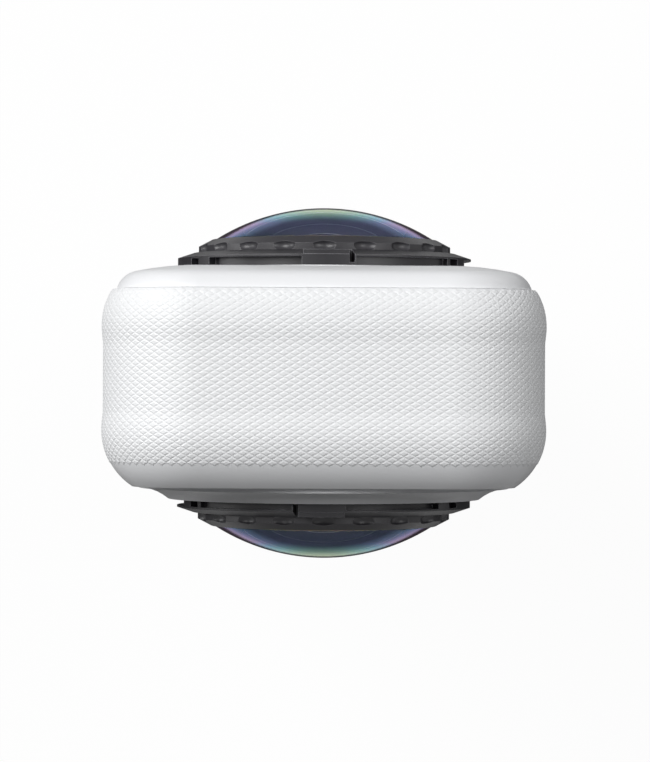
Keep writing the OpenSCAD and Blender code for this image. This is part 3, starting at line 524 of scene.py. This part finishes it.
@dataclass(frozen=True)
class StudioPaper(Finish):
    """Matt white paper on the floor, which takes a faint shadow.

    The eye sees it white. Mirrors and glass see a painted pool of light in front of each lens: a
    painted shadow at the body's foot, brightest a little way out, dim beyond, painted dimmer at
    the rear, and bright again far away.
    """

    paper: str = "#FAFAFA"
    fibre: str = "#F6F6F6"
    dull: str = "#7A7A7A"
    fibre_mm: float = 3.0
    white_share: float = 0.96
    # Distances from the body at which the pool is dark, brightest and dim
    pool_r: Point = (42.0, 59.0, 115.0)
    pool_dark: float = 0.04
    pool_dim: float = 0.12
    # To the sides, past the first slope, the dark foot reaches further out by the second
    pool_lean: Span = (0.25, 0.4)
    # Painted shade: the pool keeps this share of its light at the rear, the body's shadow side
    rear_share: float = 0.72
    far_r: Span = (240.0, 340.0)
    far_share: float = 0.9

    def pool(self, tree: Tree, place: Socket) -> Socket:
        """Builds the painted pool of light, with its painted shadow, that mirrors and glass see.

        Args:
            tree: The material's node tree.
            place: The place on the floor.

        Returns:
            The socket of the floor's share of white.
        """
        mirrored = add_node(tree, "VectorMath", {"operation": "ABSOLUTE"}, {0: place})
        parts = add_node(tree, "SeparateXYZ", inputs={"Vector": mirrored.outputs["Vector"]})
        straight, lean = self.pool_lean
        aside = add_node(tree, "Math", {"operation": "MULTIPLY_ADD"}, {
            0: parts.outputs["Y"], 1: -straight, 2: parts.outputs["X"]})
        shadow = add_node(tree, "Math", {"operation": "MAXIMUM"}, {
            0: aside.outputs["Value"], 1: 0.0})
        away = add_node(tree, "Math", {"operation": "MULTIPLY_ADD"}, {
            0: shadow.outputs["Value"], 1: -lean, 2: parts.outputs["Y"]})
        shade, bright, dim = (r * MM for r in self.pool_r)
        rise = add_node(tree, "MapRange", {"interpolation_type": "SMOOTHSTEP"}, {
            "Value": away.outputs["Value"], "From Min": shade, "From Max": bright,
            "To Min": self.pool_dark})
        fall = add_node(tree, "MapRange", inputs={
            "Value": away.outputs["Value"], "From Min": bright, "From Max": dim,
            "To Min": 1.0, "To Max": self.pool_dim})
        ring = add_node(tree, "Math", {"operation": "MULTIPLY"}, {
            0: rise.outputs["Result"], 1: fall.outputs["Result"]})
        ends = add_node(tree, "SeparateXYZ", inputs={"Vector": place})
        rear = add_node(tree, "MapRange", inputs={
            "Value": ends.outputs["Y"], "From Min": -shade, "From Max": shade,
            "To Min": self.rear_share, "To Max": 1.0})
        lit_pool = add_node(tree, "Math", {"operation": "MULTIPLY"}, {
            0: ring.outputs["Value"], 1: rear.outputs["Result"]})
        reach = add_node(tree, "VectorMath", {"operation": "LENGTH"}, {0: place})
        near, far = (r * MM for r in self.far_r)
        horizon = add_node(tree, "MapRange", inputs={
            "Value": reach.outputs["Value"], "From Min": near, "From Max": far,
            "To Max": self.far_share})
        return add_node(tree, "Math", {"operation": "MAXIMUM"}, {
            0: lit_pool.outputs["Value"], 1: horizon.outputs["Result"]}).outputs["Value"]

    def shader(self, tree: Tree) -> Socket:
        """Builds paper that is white to the eye, a painted pool of light to glass, and dull to the
        rest.

        Args:
            tree: The material's node tree.

        Returns:
            The shader's socket.
        """
        place = add_node(tree, "TexCoord").outputs["Object"]
        fibres = add_node(tree, "TexNoise", inputs={
            "Vector": place, "Scale": per_size(self.fibre_mm)})
        tone = add_node(tree, "Mix", {"data_type": "RGBA"}, {
            "Factor": fibres.outputs["Fac"],
            MIX_A: linear(self.paper), MIX_B: linear(self.fibre)})
        matt = add_node(tree, "BsdfDiffuse", inputs={"Color": tone.outputs[MIX_RESULT]})
        dull = add_node(tree, "BsdfDiffuse", inputs={"Color": linear(self.dull)})
        path = add_node(tree, "LightPath")
        strength = add_node(tree, "Math", {"operation": "MAXIMUM"}, {
            0: self.pool(tree, place), 1: path.outputs["Is Camera Ray"]})
        glow = add_node(tree, "Emission", inputs={
            "Color": linear("#FFFFFF"), "Strength": strength.outputs["Value"]})
        seen = add_node(tree, "MixShader", inputs={
            "Fac": self.white_share, 1: matt.outputs["BSDF"], 2: glow.outputs["Emission"]})
        return add_node(tree, "MixShader", inputs={
            "Fac": direct_view(tree), 1: dull.outputs["BSDF"],
            2: seen.outputs["Shader"]}).outputs["Shader"]


# Moulded in a spark-eroded tool: a soft, even sheen with no sharp highlight
WHITE_SHELL = MouldedPlastic("moulded_white_pc_abs", "#EFF0F2", "#ECEDEF", "#F4F4F5", 0.42)
# The same plastic from a knurled tool: small flat facets, each with its own shade
WHITE_KNURL = MouldedPlastic("knurled_white_pc_abs", "#F0F1F2", "#EDEEF0", "#F3F3F4", 0.45,
                             grain_depth_mm=0.003, edge_mm=0.05)
# Painted over the moulding: a little greyer and smoother than the bare shell
GREY_SHELL = MouldedPlastic("painted_pale_grey_pc_abs", "#E6E7E9", "#E2E3E6", "#ECEDEF", 0.4)
# Moulded in a finer tool: glossier than the shell, with a lighter rim that is part wear, part
# painted highlight
KEY_PLASTIC = MouldedPlastic("moulded_grey_key_abs", "#D9DBDE", "#D3D5D8", "#E2E3E5", 0.36,
                             edge_mm=0.2)
# Glass-filled nylon: a dry near-black whose edges turn grey, part wear and part painted highlight
BLACK_PLASTIC = MouldedPlastic("moulded_black_pa_glass_filled", "#2E2D31", "#333236", "#626166",
                               0.38, grain_mm=0.2, grain_depth_mm=0.004, edge_mm=0.09)
# The same nylon, machined: a deeper black, with its cut edges painted bright as a painted
# highlight
MOUNT_BLACK = MouldedPlastic("machined_black_pa_glass_filled", "#1E1D21", "#232226", "#8C8B90",
                             0.4, grain_mm=0.2, grain_depth_mm=0.004, edge_mm=0.1)
# Turned and anodised steps: a dim violet behind the coated glass, with pale arcs on the edges that
# are a painted highlight
BAFFLE_BLACK = MouldedPlastic("black_anodised_turned_baffle", "#564E70", "#5C5476", "#DCDEE8",
                              0.45, edge_mm=0.16)
# Polished and cemented: clear, so that only what lies behind it shows
INNER_GLASS = MatchedGlass("clear_inner_glass")
# Shrunk on to the cells: dark and satin, with long soft ripples
BATTERY_FILM = MouldedPlastic("shrunk_dark_pet_film", "#3B3D42", "#33353A", "#55585E", 0.34,
                              grain_mm=1.6, grain_depth_mm=0.02, edge_mm=0.4)
# Moulded card shell: plain satin black
CARD_PLASTIC = MouldedPlastic("moulded_black_card_abs", "#17181A", "#1D1E21", "#2E2F33", 0.4)
# Printed black behind hardened glass: a dark mirror
SCREEN_GLASS = CoverGlass("printed_black_cover_glass", "#08090B")
# Laminated under the cover glass: as dark, with a trace of blue
PANEL_GLASS = CoverGlass("laminated_display_panel", "#0D0F14")
# Glass with a filter coating over the sensor: a deep blue shine
SENSOR_GLASS = CoverGlass("sensor_cover_glass", "#1B2C44")
# Moulded silicone: matt dark grey that holds dust
RUBBER = SiliconeRubber("moulded_grey_silicone", "#34353A", "#44454A")
# Turned and nickel-plated: a bright, slightly broken shine
STEEL = WorkedMetal("turned_nickel_steel", "#B9BBC0", 0.3)
# Pressed from rolled sheet: a duller, wider shine
CHASSIS_METAL = WorkedMetal("pressed_aluminium_sheet", "#9DA1A6", 0.42)
# Plated spring contacts: a warm yellow shine
CONTACT_METAL = WorkedMetal("gold_plated_contact", "#D9B061", 0.28)
# Solder mask over copper: a deep green with lighter tracks
CIRCUIT = CircuitLaminate("green_masked_laminate", "#123C28", "#22593C")
# Woven from blackened wire: a dark cloth with small glints, partly a painted highlight on the
# crowns, and painted shade in its gaps
MIC_MESH = WovenWire("woven_black_acoustic_mesh", "#4A4B50", "#0A0A0B")
# Moulded milky: pale and soft, as if lit from within
LAMP = LampDiffuser("milky_pc_light_guide", "#E4EEF4")
# Rolled out under the object: plain and pale
FLOOR_PAPER = StudioPaper("pale_studio_floor")


def dress(node: str, finish: Finish) -> None:
    """Gives one CAD node its finish.

    Args:
        node: The node's name in the frame.
        finish: The finish that its surface has.
    """
    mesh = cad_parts[node].data
    mesh.materials.clear()
    mesh.materials.append(finish.material())
    log.info("dressed %s in %s", node, finish.name)


def even_normals(node: str, crease_deg: float = 25.0) -> None:
    """Works out a CAD node's shading anew: faces that fan out from one point shade as a fleck.

    Args:
        node: The node's name in the frame.
        crease_deg: Faces that meet at a larger angle keep a sharp edge.
    """
    tree = bpy.data.node_groups.new(f"{node}_even_normals", "GeometryNodeTree")
    for way in ("INPUT", "OUTPUT"):
        tree.interface.new_socket("Geometry", in_out=way, socket_type="NodeSocketGeometry")
    given = add_node(tree, "GroupInput", family="Node")
    angle = add_node(tree, "InputMeshEdgeAngle", family="GeometryNode")
    crease = add_node(tree, "Compare", family="FunctionNode", inputs={
        "A": angle.outputs["Unsigned Angle"], "B": math.radians(crease_deg)})
    shading = add_node(tree, "SetMeshNormal", family="GeometryNode", inputs={
        "Mesh": given.outputs["Geometry"], "Edge Sharpness": crease.outputs["Result"]})
    add_node(tree, "GroupOutput", family="Node", inputs={"Geometry": shading.outputs["Mesh"]})
    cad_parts[node].modifiers.new("even_normals", "NODES").node_group = tree


def add_piece(name: str, points: Sequence[Point], faces: Sequence[Face], finish: Finish,
              body: str) -> bpy.types.Object:
    """Makes one modelled piece that moves with a body.

    Args:
        name: The piece's name.
        points: Its vertices, in metres in the part's frame.
        faces: Vertex numbers of each face, counter-clockwise seen from outside.
        finish: Its finish.
        body: The body that carries it.

    Returns:
        The new object.
    """
    mesh = bpy.data.meshes.new(name)
    mesh.from_pydata(points, [], faces)
    mesh.materials.append(finish.material())
    piece = bpy.data.objects.new(name, mesh)
    bpy.context.scene.collection.objects.link(piece)
    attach(piece, body)
    log.info("made %s with %d faces on %s", name, len(faces), body)
    return piece


@dataclass(frozen=True)
class Zone:
    """An upright box in the part's frame, in metres."""

    low: Vector
    high: Vector

    @classmethod
    def of(cls, node: str, grow_mm: Point) -> "Zone":
        """The box of a CAD node, grown or shrunk.

        Args:
            node: The node's name in the frame.
            grow_mm: How far each side moves out along X, Y and Z.

        Returns:
            The box.
        """
        low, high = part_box(node)
        grow = Vector(grow_mm) * MM
        return cls(low - grow, high + grow)

    def holds(self, point: Vector) -> bool:
        """True if the point lies in the box."""
        return all(a <= p <= b for a, p, b in zip(self.low, point, self.high))


@dataclass
class GripBand:
    """The knurled band round the body: rows of flat-topped diamond pyramids on a crested loop."""

    corner_r: float = 10.0
    crest_r: float = 7.0
    crest_gap: float = 10.8
    mid_depth: float = 0.5
    waist_depth: float = 0.15
    blend: float = 0.15
    smooth_rear: float = 2.3
    columns: int = 280
    rows: int = 26
    height: float = 0.053
    root: float = 0.05
    flat_share: float = 0.5
    border: float = 0.7
    opening_reach: float = 1.4
    latch_reach: float = 5.6
    hinge_foot: float = 1.0

    def __post_init__(self) -> None:
        """Takes the band's size from the grip frame."""
        low, high = (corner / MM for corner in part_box("grip_frame"))
        self.centre_z = (low.z + high.z) / 2
        self.half_w = (high.x - low.x) / 2 - self.corner_r
        self.half_h = (high.z - low.z) / 2 - self.corner_r
        self.front_y = high.y
        self.rear_y = low.y + self.smooth_rear
        self.arc = math.pi / 2 * self.corner_r
        self.loop = 4 * (self.half_w + self.half_h + self.arc)

    def reach(self, y: float) -> Span:
        """How far the band's section reaches outward at a depth, and its slope there.

        Args:
            y: Depth from the lens mid-plane.

        Returns:
            The reach from the line of the corner centres, and the reach's change with depth.
        """
        side = 1 if y > self.mid_depth else -1
        off = y - self.mid_depth - side * self.crest_gap / 2
        rise = math.sqrt(self.crest_r ** 2 - off ** 2)
        crest = self.corner_r - self.crest_r + rise
        if abs(y - self.mid_depth) >= self.crest_gap / 2:
            return crest, -off / rise
        # Between the crests the waist takes over, with a soft change from one to the other
        waist = self.corner_r - self.waist_depth
        lead = (crest - waist) / self.blend
        share = min(max(0.5 + 0.5 * lead, 0.0), 1.0)
        swell = max(1.0 - abs(lead), 0.0) ** 2 * self.blend / 4
        return max(crest, waist) + swell, -share * off / rise

    def course(self, along: float) -> tuple[float, float, float, float]:
        """A place on the loop of corner centres, clockwise from the middle of the top.

        Args:
            along: Distance on the nominal loop.

        Returns:
            X and height of the place, and X and Z of the outward direction.
        """
        rest = along % self.loop
        x, z, heading = 0.0, self.half_h, 0.0
        runs = (self.half_w, 2 * self.half_h, 2 * self.half_w, 2 * self.half_h, self.half_w)
        for run in runs:
            step = min(rest, run)
            x += step * math.cos(heading)
            z -= step * math.sin(heading)
            rest -= step
            if rest <= 0:
                break
            turn = min(rest, self.arc) / self.corner_r
            rest -= turn * self.corner_r
            heading += turn
            if rest <= 0:
                break
        return x, z + self.centre_z, math.sin(heading), math.cos(heading)

    def surface(self, along: float, y: float, lift: float) -> Vector:
        """A point over the band's surface.

        Args:
            along: Distance on the nominal loop.
            y: Depth from the lens mid-plane.
            lift: Height over the smooth surface.

        Returns:
            The point, in metres.
        """
        x, z, out_x, out_z = self.course(along)
        reach, slope = self.reach(y)
        scale = lift / math.hypot(1.0, slope)
        out = reach + scale
        return Vector((x + out * out_x, y - slope * scale, z + out * out_z)) * MM

    def knurl(self, name: str, body: str, wanted: Callable[[Vector], bool]) -> bpy.types.Object:
        """Makes the diamonds of one panel, closed underneath by a shallow root.

        Args:
            name: The piece's name.
            body: The body that the panel belongs to.
            wanted: Says of a point on the surface whether the panel reaches it.

        Returns:
            The panel's object.
        """
        step_u = self.loop / (2 * self.columns)
        step_v = (self.front_y - self.rear_y) / (2 * self.rows)
        around = 2 * self.columns
        corners = ((1, 0), (0, 1), (-1, 0), (0, -1))
        neighbours = ((1, 1), (-1, 1), (-1, -1), (1, -1))

        def point(i: float, j: float, lift: float) -> Vector:
            """A surface point at half steps of the lattice."""
            return self.surface(i * step_u, self.rear_y + j * step_v, lift)

        usable = {(i, j): wanted(point(i, j, 0.0)) for i in range(around)
                  for j in range(2 * self.rows + 1) if (i + j) % 2}
        kept = {(i, j) for i in range(around) for j in range(1, 2 * self.rows)
                if (i + j) % 2 == 0
                and all(usable[(i + a) % around, j + b] for a, b in corners)}
        points: list[Point] = []
        faces: list[Face] = []
        shared: dict[tuple[int, int], int] = {}
        for i, j in sorted(kept):
            ring = []
            for a, b in corners:
                spot = ((i + a) % around, j + b)
                if spot not in shared:
                    shared[spot] = len(points)
                    points += [tuple(point(*spot, 0.0)), tuple(point(*spot, -self.root))]
                ring.append(shared[spot])
            top = len(points)
            points += [tuple(point(i + a * self.flat_share, j + b * self.flat_share, self.height))
                       for a, b in corners]
            for k, (a, b) in enumerate(neighbours):
                n = (k + 1) % 4
                faces.append((ring[k], ring[n], top + n, top + k))
                if ((i + a) % around, j + b) not in kept:
                    faces.append((ring[k] + 1, ring[n] + 1, ring[n], ring[k]))
            faces.append((top, top + 1, top + 2, top + 3))
            faces.append(tuple(corner + 1 for corner in reversed(ring)))
        return add_piece(name, points, faces, WHITE_KNURL, body)

    def build(self) -> None:
        """Makes the knurl of the frame and of both doors, with a smooth border round openings."""
        openings = [Zone.of(node, (self.opening_reach, self.border, self.border))
                    for node in ("usb_door", "battery_door", "base_plate")]
        openings += [Zone.of(node, (self.opening_reach, 0.0, 0.0))
                     for node in ("power_button", "mode_button")]
        self.knurl("grip_knurl", "housing",
                   lambda p: not any(zone.holds(p) for zone in openings))
        latch = Zone.of("battery_latch", (self.latch_reach, self.border, self.border))
        for node, body, busy in (("battery_door", "battery_flap", [latch]),
                                 ("usb_door", "port_flap", [])):
            leaf = Zone.of(node, (self.opening_reach, -self.border, -self.border))
            leaf.low.z += self.hinge_foot * MM
            self.knurl(f"{node}_knurl", body, lambda p, leaf=leaf, busy=busy:
                       leaf.holds(p) and not any(zone.holds(p) for zone in busy))

    def dress(self) -> None:
        """Finishes the frame, the doors and the covers."""
        for node in ("grip_frame", "front_cover", "battery_door", "usb_door"):
            dress(node, WHITE_SHELL)
        even_normals("front_cover")
        for node in ("rear_cover", "base_plate"):
            dress(node, GREY_SHELL)
        dress("battery_latch", BLACK_PLASTIC)
        for node in ("cover_gasket", "battery_door_seal", "usb_door_seal"):
            dress(node, RUBBER)
        for node in ("usb_hinge_pin", "battery_hinge_pin"):
            dress(node, STEEL)


class Side(Enum):
    """The two lens modules."""

    FRONT = "front"
    REAR = "rear"


@dataclass
class LensModule:
    """One fisheye module: mount ring, twist ring, coated dome and the parts behind it."""

    side: Side
    ball_r: float = 21.8
    wall: float = 1.2
    middle_film_nm: float = 1020.0
    edge_film_nm: float = 708.0
    sides: int = 160
    rings: int = 28

    def node(self, part: str) -> str:
        """The CAD node of one part on this side."""
        return f"{self.side.value}_{part}"

    def build(self) -> None:
        """Makes the dome as one closed shell: a coated face outside, clear glass inside."""
        low, high = (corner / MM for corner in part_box(self.node("dome")))
        facing = 1 if self.side is Side.FRONT else -1
        axis_z = (low.z + high.z) / 2
        edge_r = (high.x - low.x) / 2
        foot, apex = sorted((abs(low.y), abs(high.y)))
        centre = apex - self.ball_r
        hollow_r = self.ball_r - self.wall
        foot_r = math.sqrt(hollow_r ** 2 - (foot - centre) ** 2)

        def cap(ball_r: float, reach: float) -> list[Span]:
            """Radius and height along a ball from near its pole to a reach."""
            turns = [(k + 1) / self.rings * math.asin(reach / ball_r) for k in range(self.rings)]
            return [(ball_r * math.sin(turn), centre + ball_r * math.cos(turn)) for turn in turns]

        outline = cap(self.ball_r, edge_r) + [(edge_r, foot)] + cap(hollow_r, foot_r)[::-1]
        points: list[Point] = [(0.0, facing * apex * MM, axis_z * MM)]
        for r, height in outline:
            for k in range(self.sides):
                angle = 2 * math.pi * k / self.sides
                points.append((r * math.sin(angle) * MM, facing * height * MM,
                               (axis_z + facing * r * math.cos(angle)) * MM))
        points.append((0.0, facing * (centre + hollow_r) * MM, axis_z * MM))
        faces: list[Face] = []
        for k in range(self.sides):
            n = (k + 1) % self.sides
            faces.append((0, 1 + k, 1 + n))
            for m in range(len(outline) - 1):
                a, b = 1 + m * self.sides, 1 + (m + 1) * self.sides
                faces.append((a + k, b + k, b + n, a + n))
            last = 1 + (len(outline) - 1) * self.sides
            faces.append((last + k, len(points) - 1, last + n))
        film = CoatedDome("coated_optical_glass", axis_z, edge_r,
                          self.middle_film_nm, self.edge_film_nm)
        dome = add_piece(self.node("coated_dome"), points, faces, film,
                         f"{self.side.value}_lens")
        dome.data.materials.append(INNER_GLASS.material())
        last_coated = 1 + self.rings * self.sides
        for face in dome.data.polygons:
            outside = min(face.vertices) < last_coated - self.sides
            face.material_index = 0 if outside and max(face.vertices) < last_coated else 1
            face.use_smooth = True
        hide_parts(self.node("dome"))

    def dress(self) -> None:
        """Finishes every part of the module."""
        for part, finish in (("mount_ring", MOUNT_BLACK), ("lens_ring", BLACK_PLASTIC),
                             ("inner_element", INNER_GLASS), ("lens_seal", RUBBER),
                             ("lens_barrel", BAFFLE_BLACK), ("image_sensor", SENSOR_GLASS),
                             ("sensor_board", CIRCUIT)):
            dress(self.node(part), finish)


@dataclass
class TripodInsert:
    """The steel bush in the base with its real internal thread: 1/4 inch, 20 turns to the inch."""

    pitch: float = 1.27
    thread_depth: float = 0.55
    bore_r: float = 2.6
    bore_l: float = 6.0
    flange_w: float = 0.5
    flange_t: float = 1.0
    # Peak and slope of the vee, in thread depths, before its root and crest are cut flat
    vee_peak: float = 1.25
    vee_slope: float = 1.5
    sides: int = 96
    steps_per_turn: int = 12

    def bore_radius(self, angle: float, height: float) -> float:
        """Radius of the threaded bore: a vee groove that climbs one pitch a turn.

        Args:
            angle: Where round the bore, in radians.
            height: Height over the base.

        Returns:
            The radius there.
        """
        phase = (height / self.pitch - angle / (2 * math.pi)) % 1
        vee = self.vee_peak - abs(2 * phase - 1) * self.vee_slope
        return self.bore_r + self.thread_depth * min(1.0, max(0.0, vee))

    def build(self) -> None:
        """Revolves the bush and winds the thread up its bore."""
        low, high = (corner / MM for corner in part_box("tripod_insert"))
        outer_r = (high.x - low.x) / 2 - self.flange_w
        flange_r = outer_r + self.flange_w
        flange_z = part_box("base_plate")[1].z / MM
        outline = [(outer_r, high.z), (outer_r, flange_z + self.flange_t),
                   (flange_r, flange_z + self.flange_t), (flange_r, flange_z),
                   (outer_r, flange_z), (outer_r, 0.0)]
        turns = [k * self.pitch / self.steps_per_turn
                 for k in range(int(self.bore_l / self.pitch * self.steps_per_turn) + 1)]
        angles = [2 * math.pi * k / self.sides for k in range(self.sides)]
        rings = [[(r, z)] * self.sides for r, z in outline]
        rings += [[(self.bore_radius(angle, z), z) for angle in angles] for z in turns]
        points: list[Point] = [(r * math.cos(angle) * MM, r * math.sin(angle) * MM, z * MM)
                               for ring in rings for angle, (r, z) in zip(angles, ring)]
        faces: list[Face] = [tuple(range(self.sides))]
        for m in range(len(rings) - 1):
            a, b = m * self.sides, (m + 1) * self.sides
            for k in range(self.sides):
                n = (k + 1) % self.sides
                faces.append((a + n, a + k, b + k, b + n))
        last = (len(rings) - 1) * self.sides
        faces.append(tuple(last + k for k in reversed(range(self.sides))))
        bush = add_piece("threaded_tripod_bush", points, faces, STEEL, "housing")
        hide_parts("tripod_insert")


@dataclass
class Controls:
    """Keys, screen, sound and light on the outside of the body."""

    def dress(self) -> None:
        """Finishes the keys, the screen and the small parts in the covers."""
        for node in ("shutter_button", "lens_button", "power_button", "mode_button"):
            dress(node, KEY_PLASTIC)
        even_normals("shutter_button")
        even_normals("lens_button")
        dress("screen_glass", SCREEN_GLASS)
        dress("display_panel", PANEL_GLASS)
        dress("status_lamp", LAMP)
        dress("microphone_meshes", MIC_MESH)
        dress("speaker", MIC_MESH)


@dataclass
class Interior:
    """What the doors show when they open, and what the housing holds."""

    def dress(self) -> None:
        """Finishes the chassis, boards, battery, card and port."""
        for finish, nodes in (
                (CHASSIS_METAL, ("inner_chassis",)),
                (STEEL, ("chassis_screws", "base_screws", "key_switches", "card_reader",
                         "usb_port")),
                (CONTACT_METAL, ("battery_contacts",)),
                (CIRCUIT, ("main_board", "key_board", "side_key_board", "usb_board")),
                (BLACK_PLASTIC, ("battery_bay",)),
                (BATTERY_FILM, ("battery_pack",)),
                (CARD_PLASTIC, ("memory_card",))):
            for node in nodes:
                dress(node, finish)


@dataclass(frozen=True)
class SoftLamp:
    """A square soft box that looks at the body."""

    name: str
    towards: Point
    distance: float
    size: float
    level: float

    def build(self, target: Vector) -> None:
        """Hangs the lamp, with its power set by the share of white that it gives at the body.

        Args:
            target: The point that the lamp looks at, in metres.
        """
        light = bpy.data.lights.new(self.name, "AREA")
        light.size = self.size * MM
        lamp = bpy.data.objects.new(self.name, light)
        bpy.context.scene.collection.objects.link(lamp)
        away = Vector(self.towards).normalized() * self.distance * MM
        lamp.location = target + away
        light.energy = self.level * (math.pi * away.length) ** 2
        lamp.rotation_euler = away.to_track_quat("Z", "Y").to_euler()


@dataclass
class Studio:
    """A pale floor, soft lamps, a white surround and the camera above the top end."""

    image_size: tuple[int, int] = (650, 762)
    pixels_per_mm: float = 9.936
    camera_rise: float = 330.0
    camera_shift: Span = (0.11, 0.22)
    camera_roll: float = 0.25
    sensor: float = 36.0
    floor_half: float = 900.0
    aim_drop: float = 20.0
    matt_fill: float = 0.05
    mirror_fill: float = 0.6
    lamps: tuple[SoftLamp, ...] = (
        SoftLamp("key", (-0.555, 0.45, 0.7), 760.0, 420.0, 0.86),
        SoftLamp("right_fill", (0.6, 0.3, 0.74), 760.0, 420.0, 0.37),
        SoftLamp("left_edge", (-0.97, 0.2, 0.12), 700.0, 180.0, 0.2),
        SoftLamp("rear_fill", (0.15, -0.98, 0.05), 700.0, 180.0, 0.03),
    )

    def build(self) -> None:
        """Sets up the camera, the floor, the surround and the lamps."""
        bpy.context.scene.view_settings.view_transform = "Standard"
        low, high = CAD_BOX
        self.add_camera(high.z)
        self.add_floor(low.z)
        self.add_surround()
        target = Vector((0.0, 0.0, high.z - self.aim_drop * MM))
        for lamp in self.lamps:
            lamp.build(target)

    def add_camera(self, top: float) -> None:
        """Hangs the camera over the top end, with the front lens towards the picture's top.

        Args:
            top: Height of the object's top, in metres.
        """
        data = bpy.data.cameras.new("top_view")
        data.sensor_width = self.sensor
        data.lens = self.pixels_per_mm * self.camera_rise * self.sensor / max(self.image_size)
        camera = bpy.data.objects.new("top_view", data)
        bpy.context.scene.collection.objects.link(camera)
        shift_x, shift_y = self.camera_shift
        camera.location = (shift_x * MM, shift_y * MM, top + self.camera_rise * MM)
        camera.rotation_euler.z = math.radians(self.camera_roll)
        bpy.context.scene.camera = camera

    def add_floor(self, level: float) -> None:
        """Lays the paper floor under the object.

        Args:
            level: Height of the floor, in metres.
        """
        mesh = bpy.data.meshes.new("floor")
        half = self.floor_half * MM
        mesh.from_pydata([(-half, -half, level), (half, -half, level), (half, half, level),
                          (-half, half, level)], [], [(0, 1, 2, 3)])
        mesh.materials.append(FLOOR_PAPER.material())
        floor = bpy.data.objects.new("floor", mesh)
        bpy.context.scene.collection.objects.link(floor)

    def add_surround(self) -> None:
        """Makes the surround white to the eye and a weak soft fill for matt surfaces."""
        world = bpy.data.worlds.new("white_surround")
        bpy.context.scene.world = world
        world.use_nodes = True
        tree = world.node_tree
        tree.nodes.clear()
        path = add_node(tree, "LightPath")
        fill = add_node(tree, "MapRange", inputs={
            "Value": direct_view(tree), "To Min": self.matt_fill, "To Max": self.mirror_fill})
        strength = add_node(tree, "Math", {"operation": "MAXIMUM"}, {
            0: fill.outputs["Result"], 1: path.outputs["Is Camera Ray"]})
        background = add_node(tree, "Background", inputs={
            "Color": linear("#FFFFFF"), "Strength": strength.outputs["Value"]})
        add_node(tree, "OutputWorld", inputs={"Surface": background.outputs["Background"]})


def main() -> None:
    """Builds the studio, then each sub-assembly."""
    logging.basicConfig(level=logging.INFO, format="%(message)s")
    Studio().build()
    band = GripBand()
    band.build()
    band.dress()
    for side in Side:
        lens = LensModule(side)
        lens.build()
        lens.dress()
    TripodInsert().build()
    Controls().dress()
    Interior().dress()


if __name__ == "__main__":
    main()
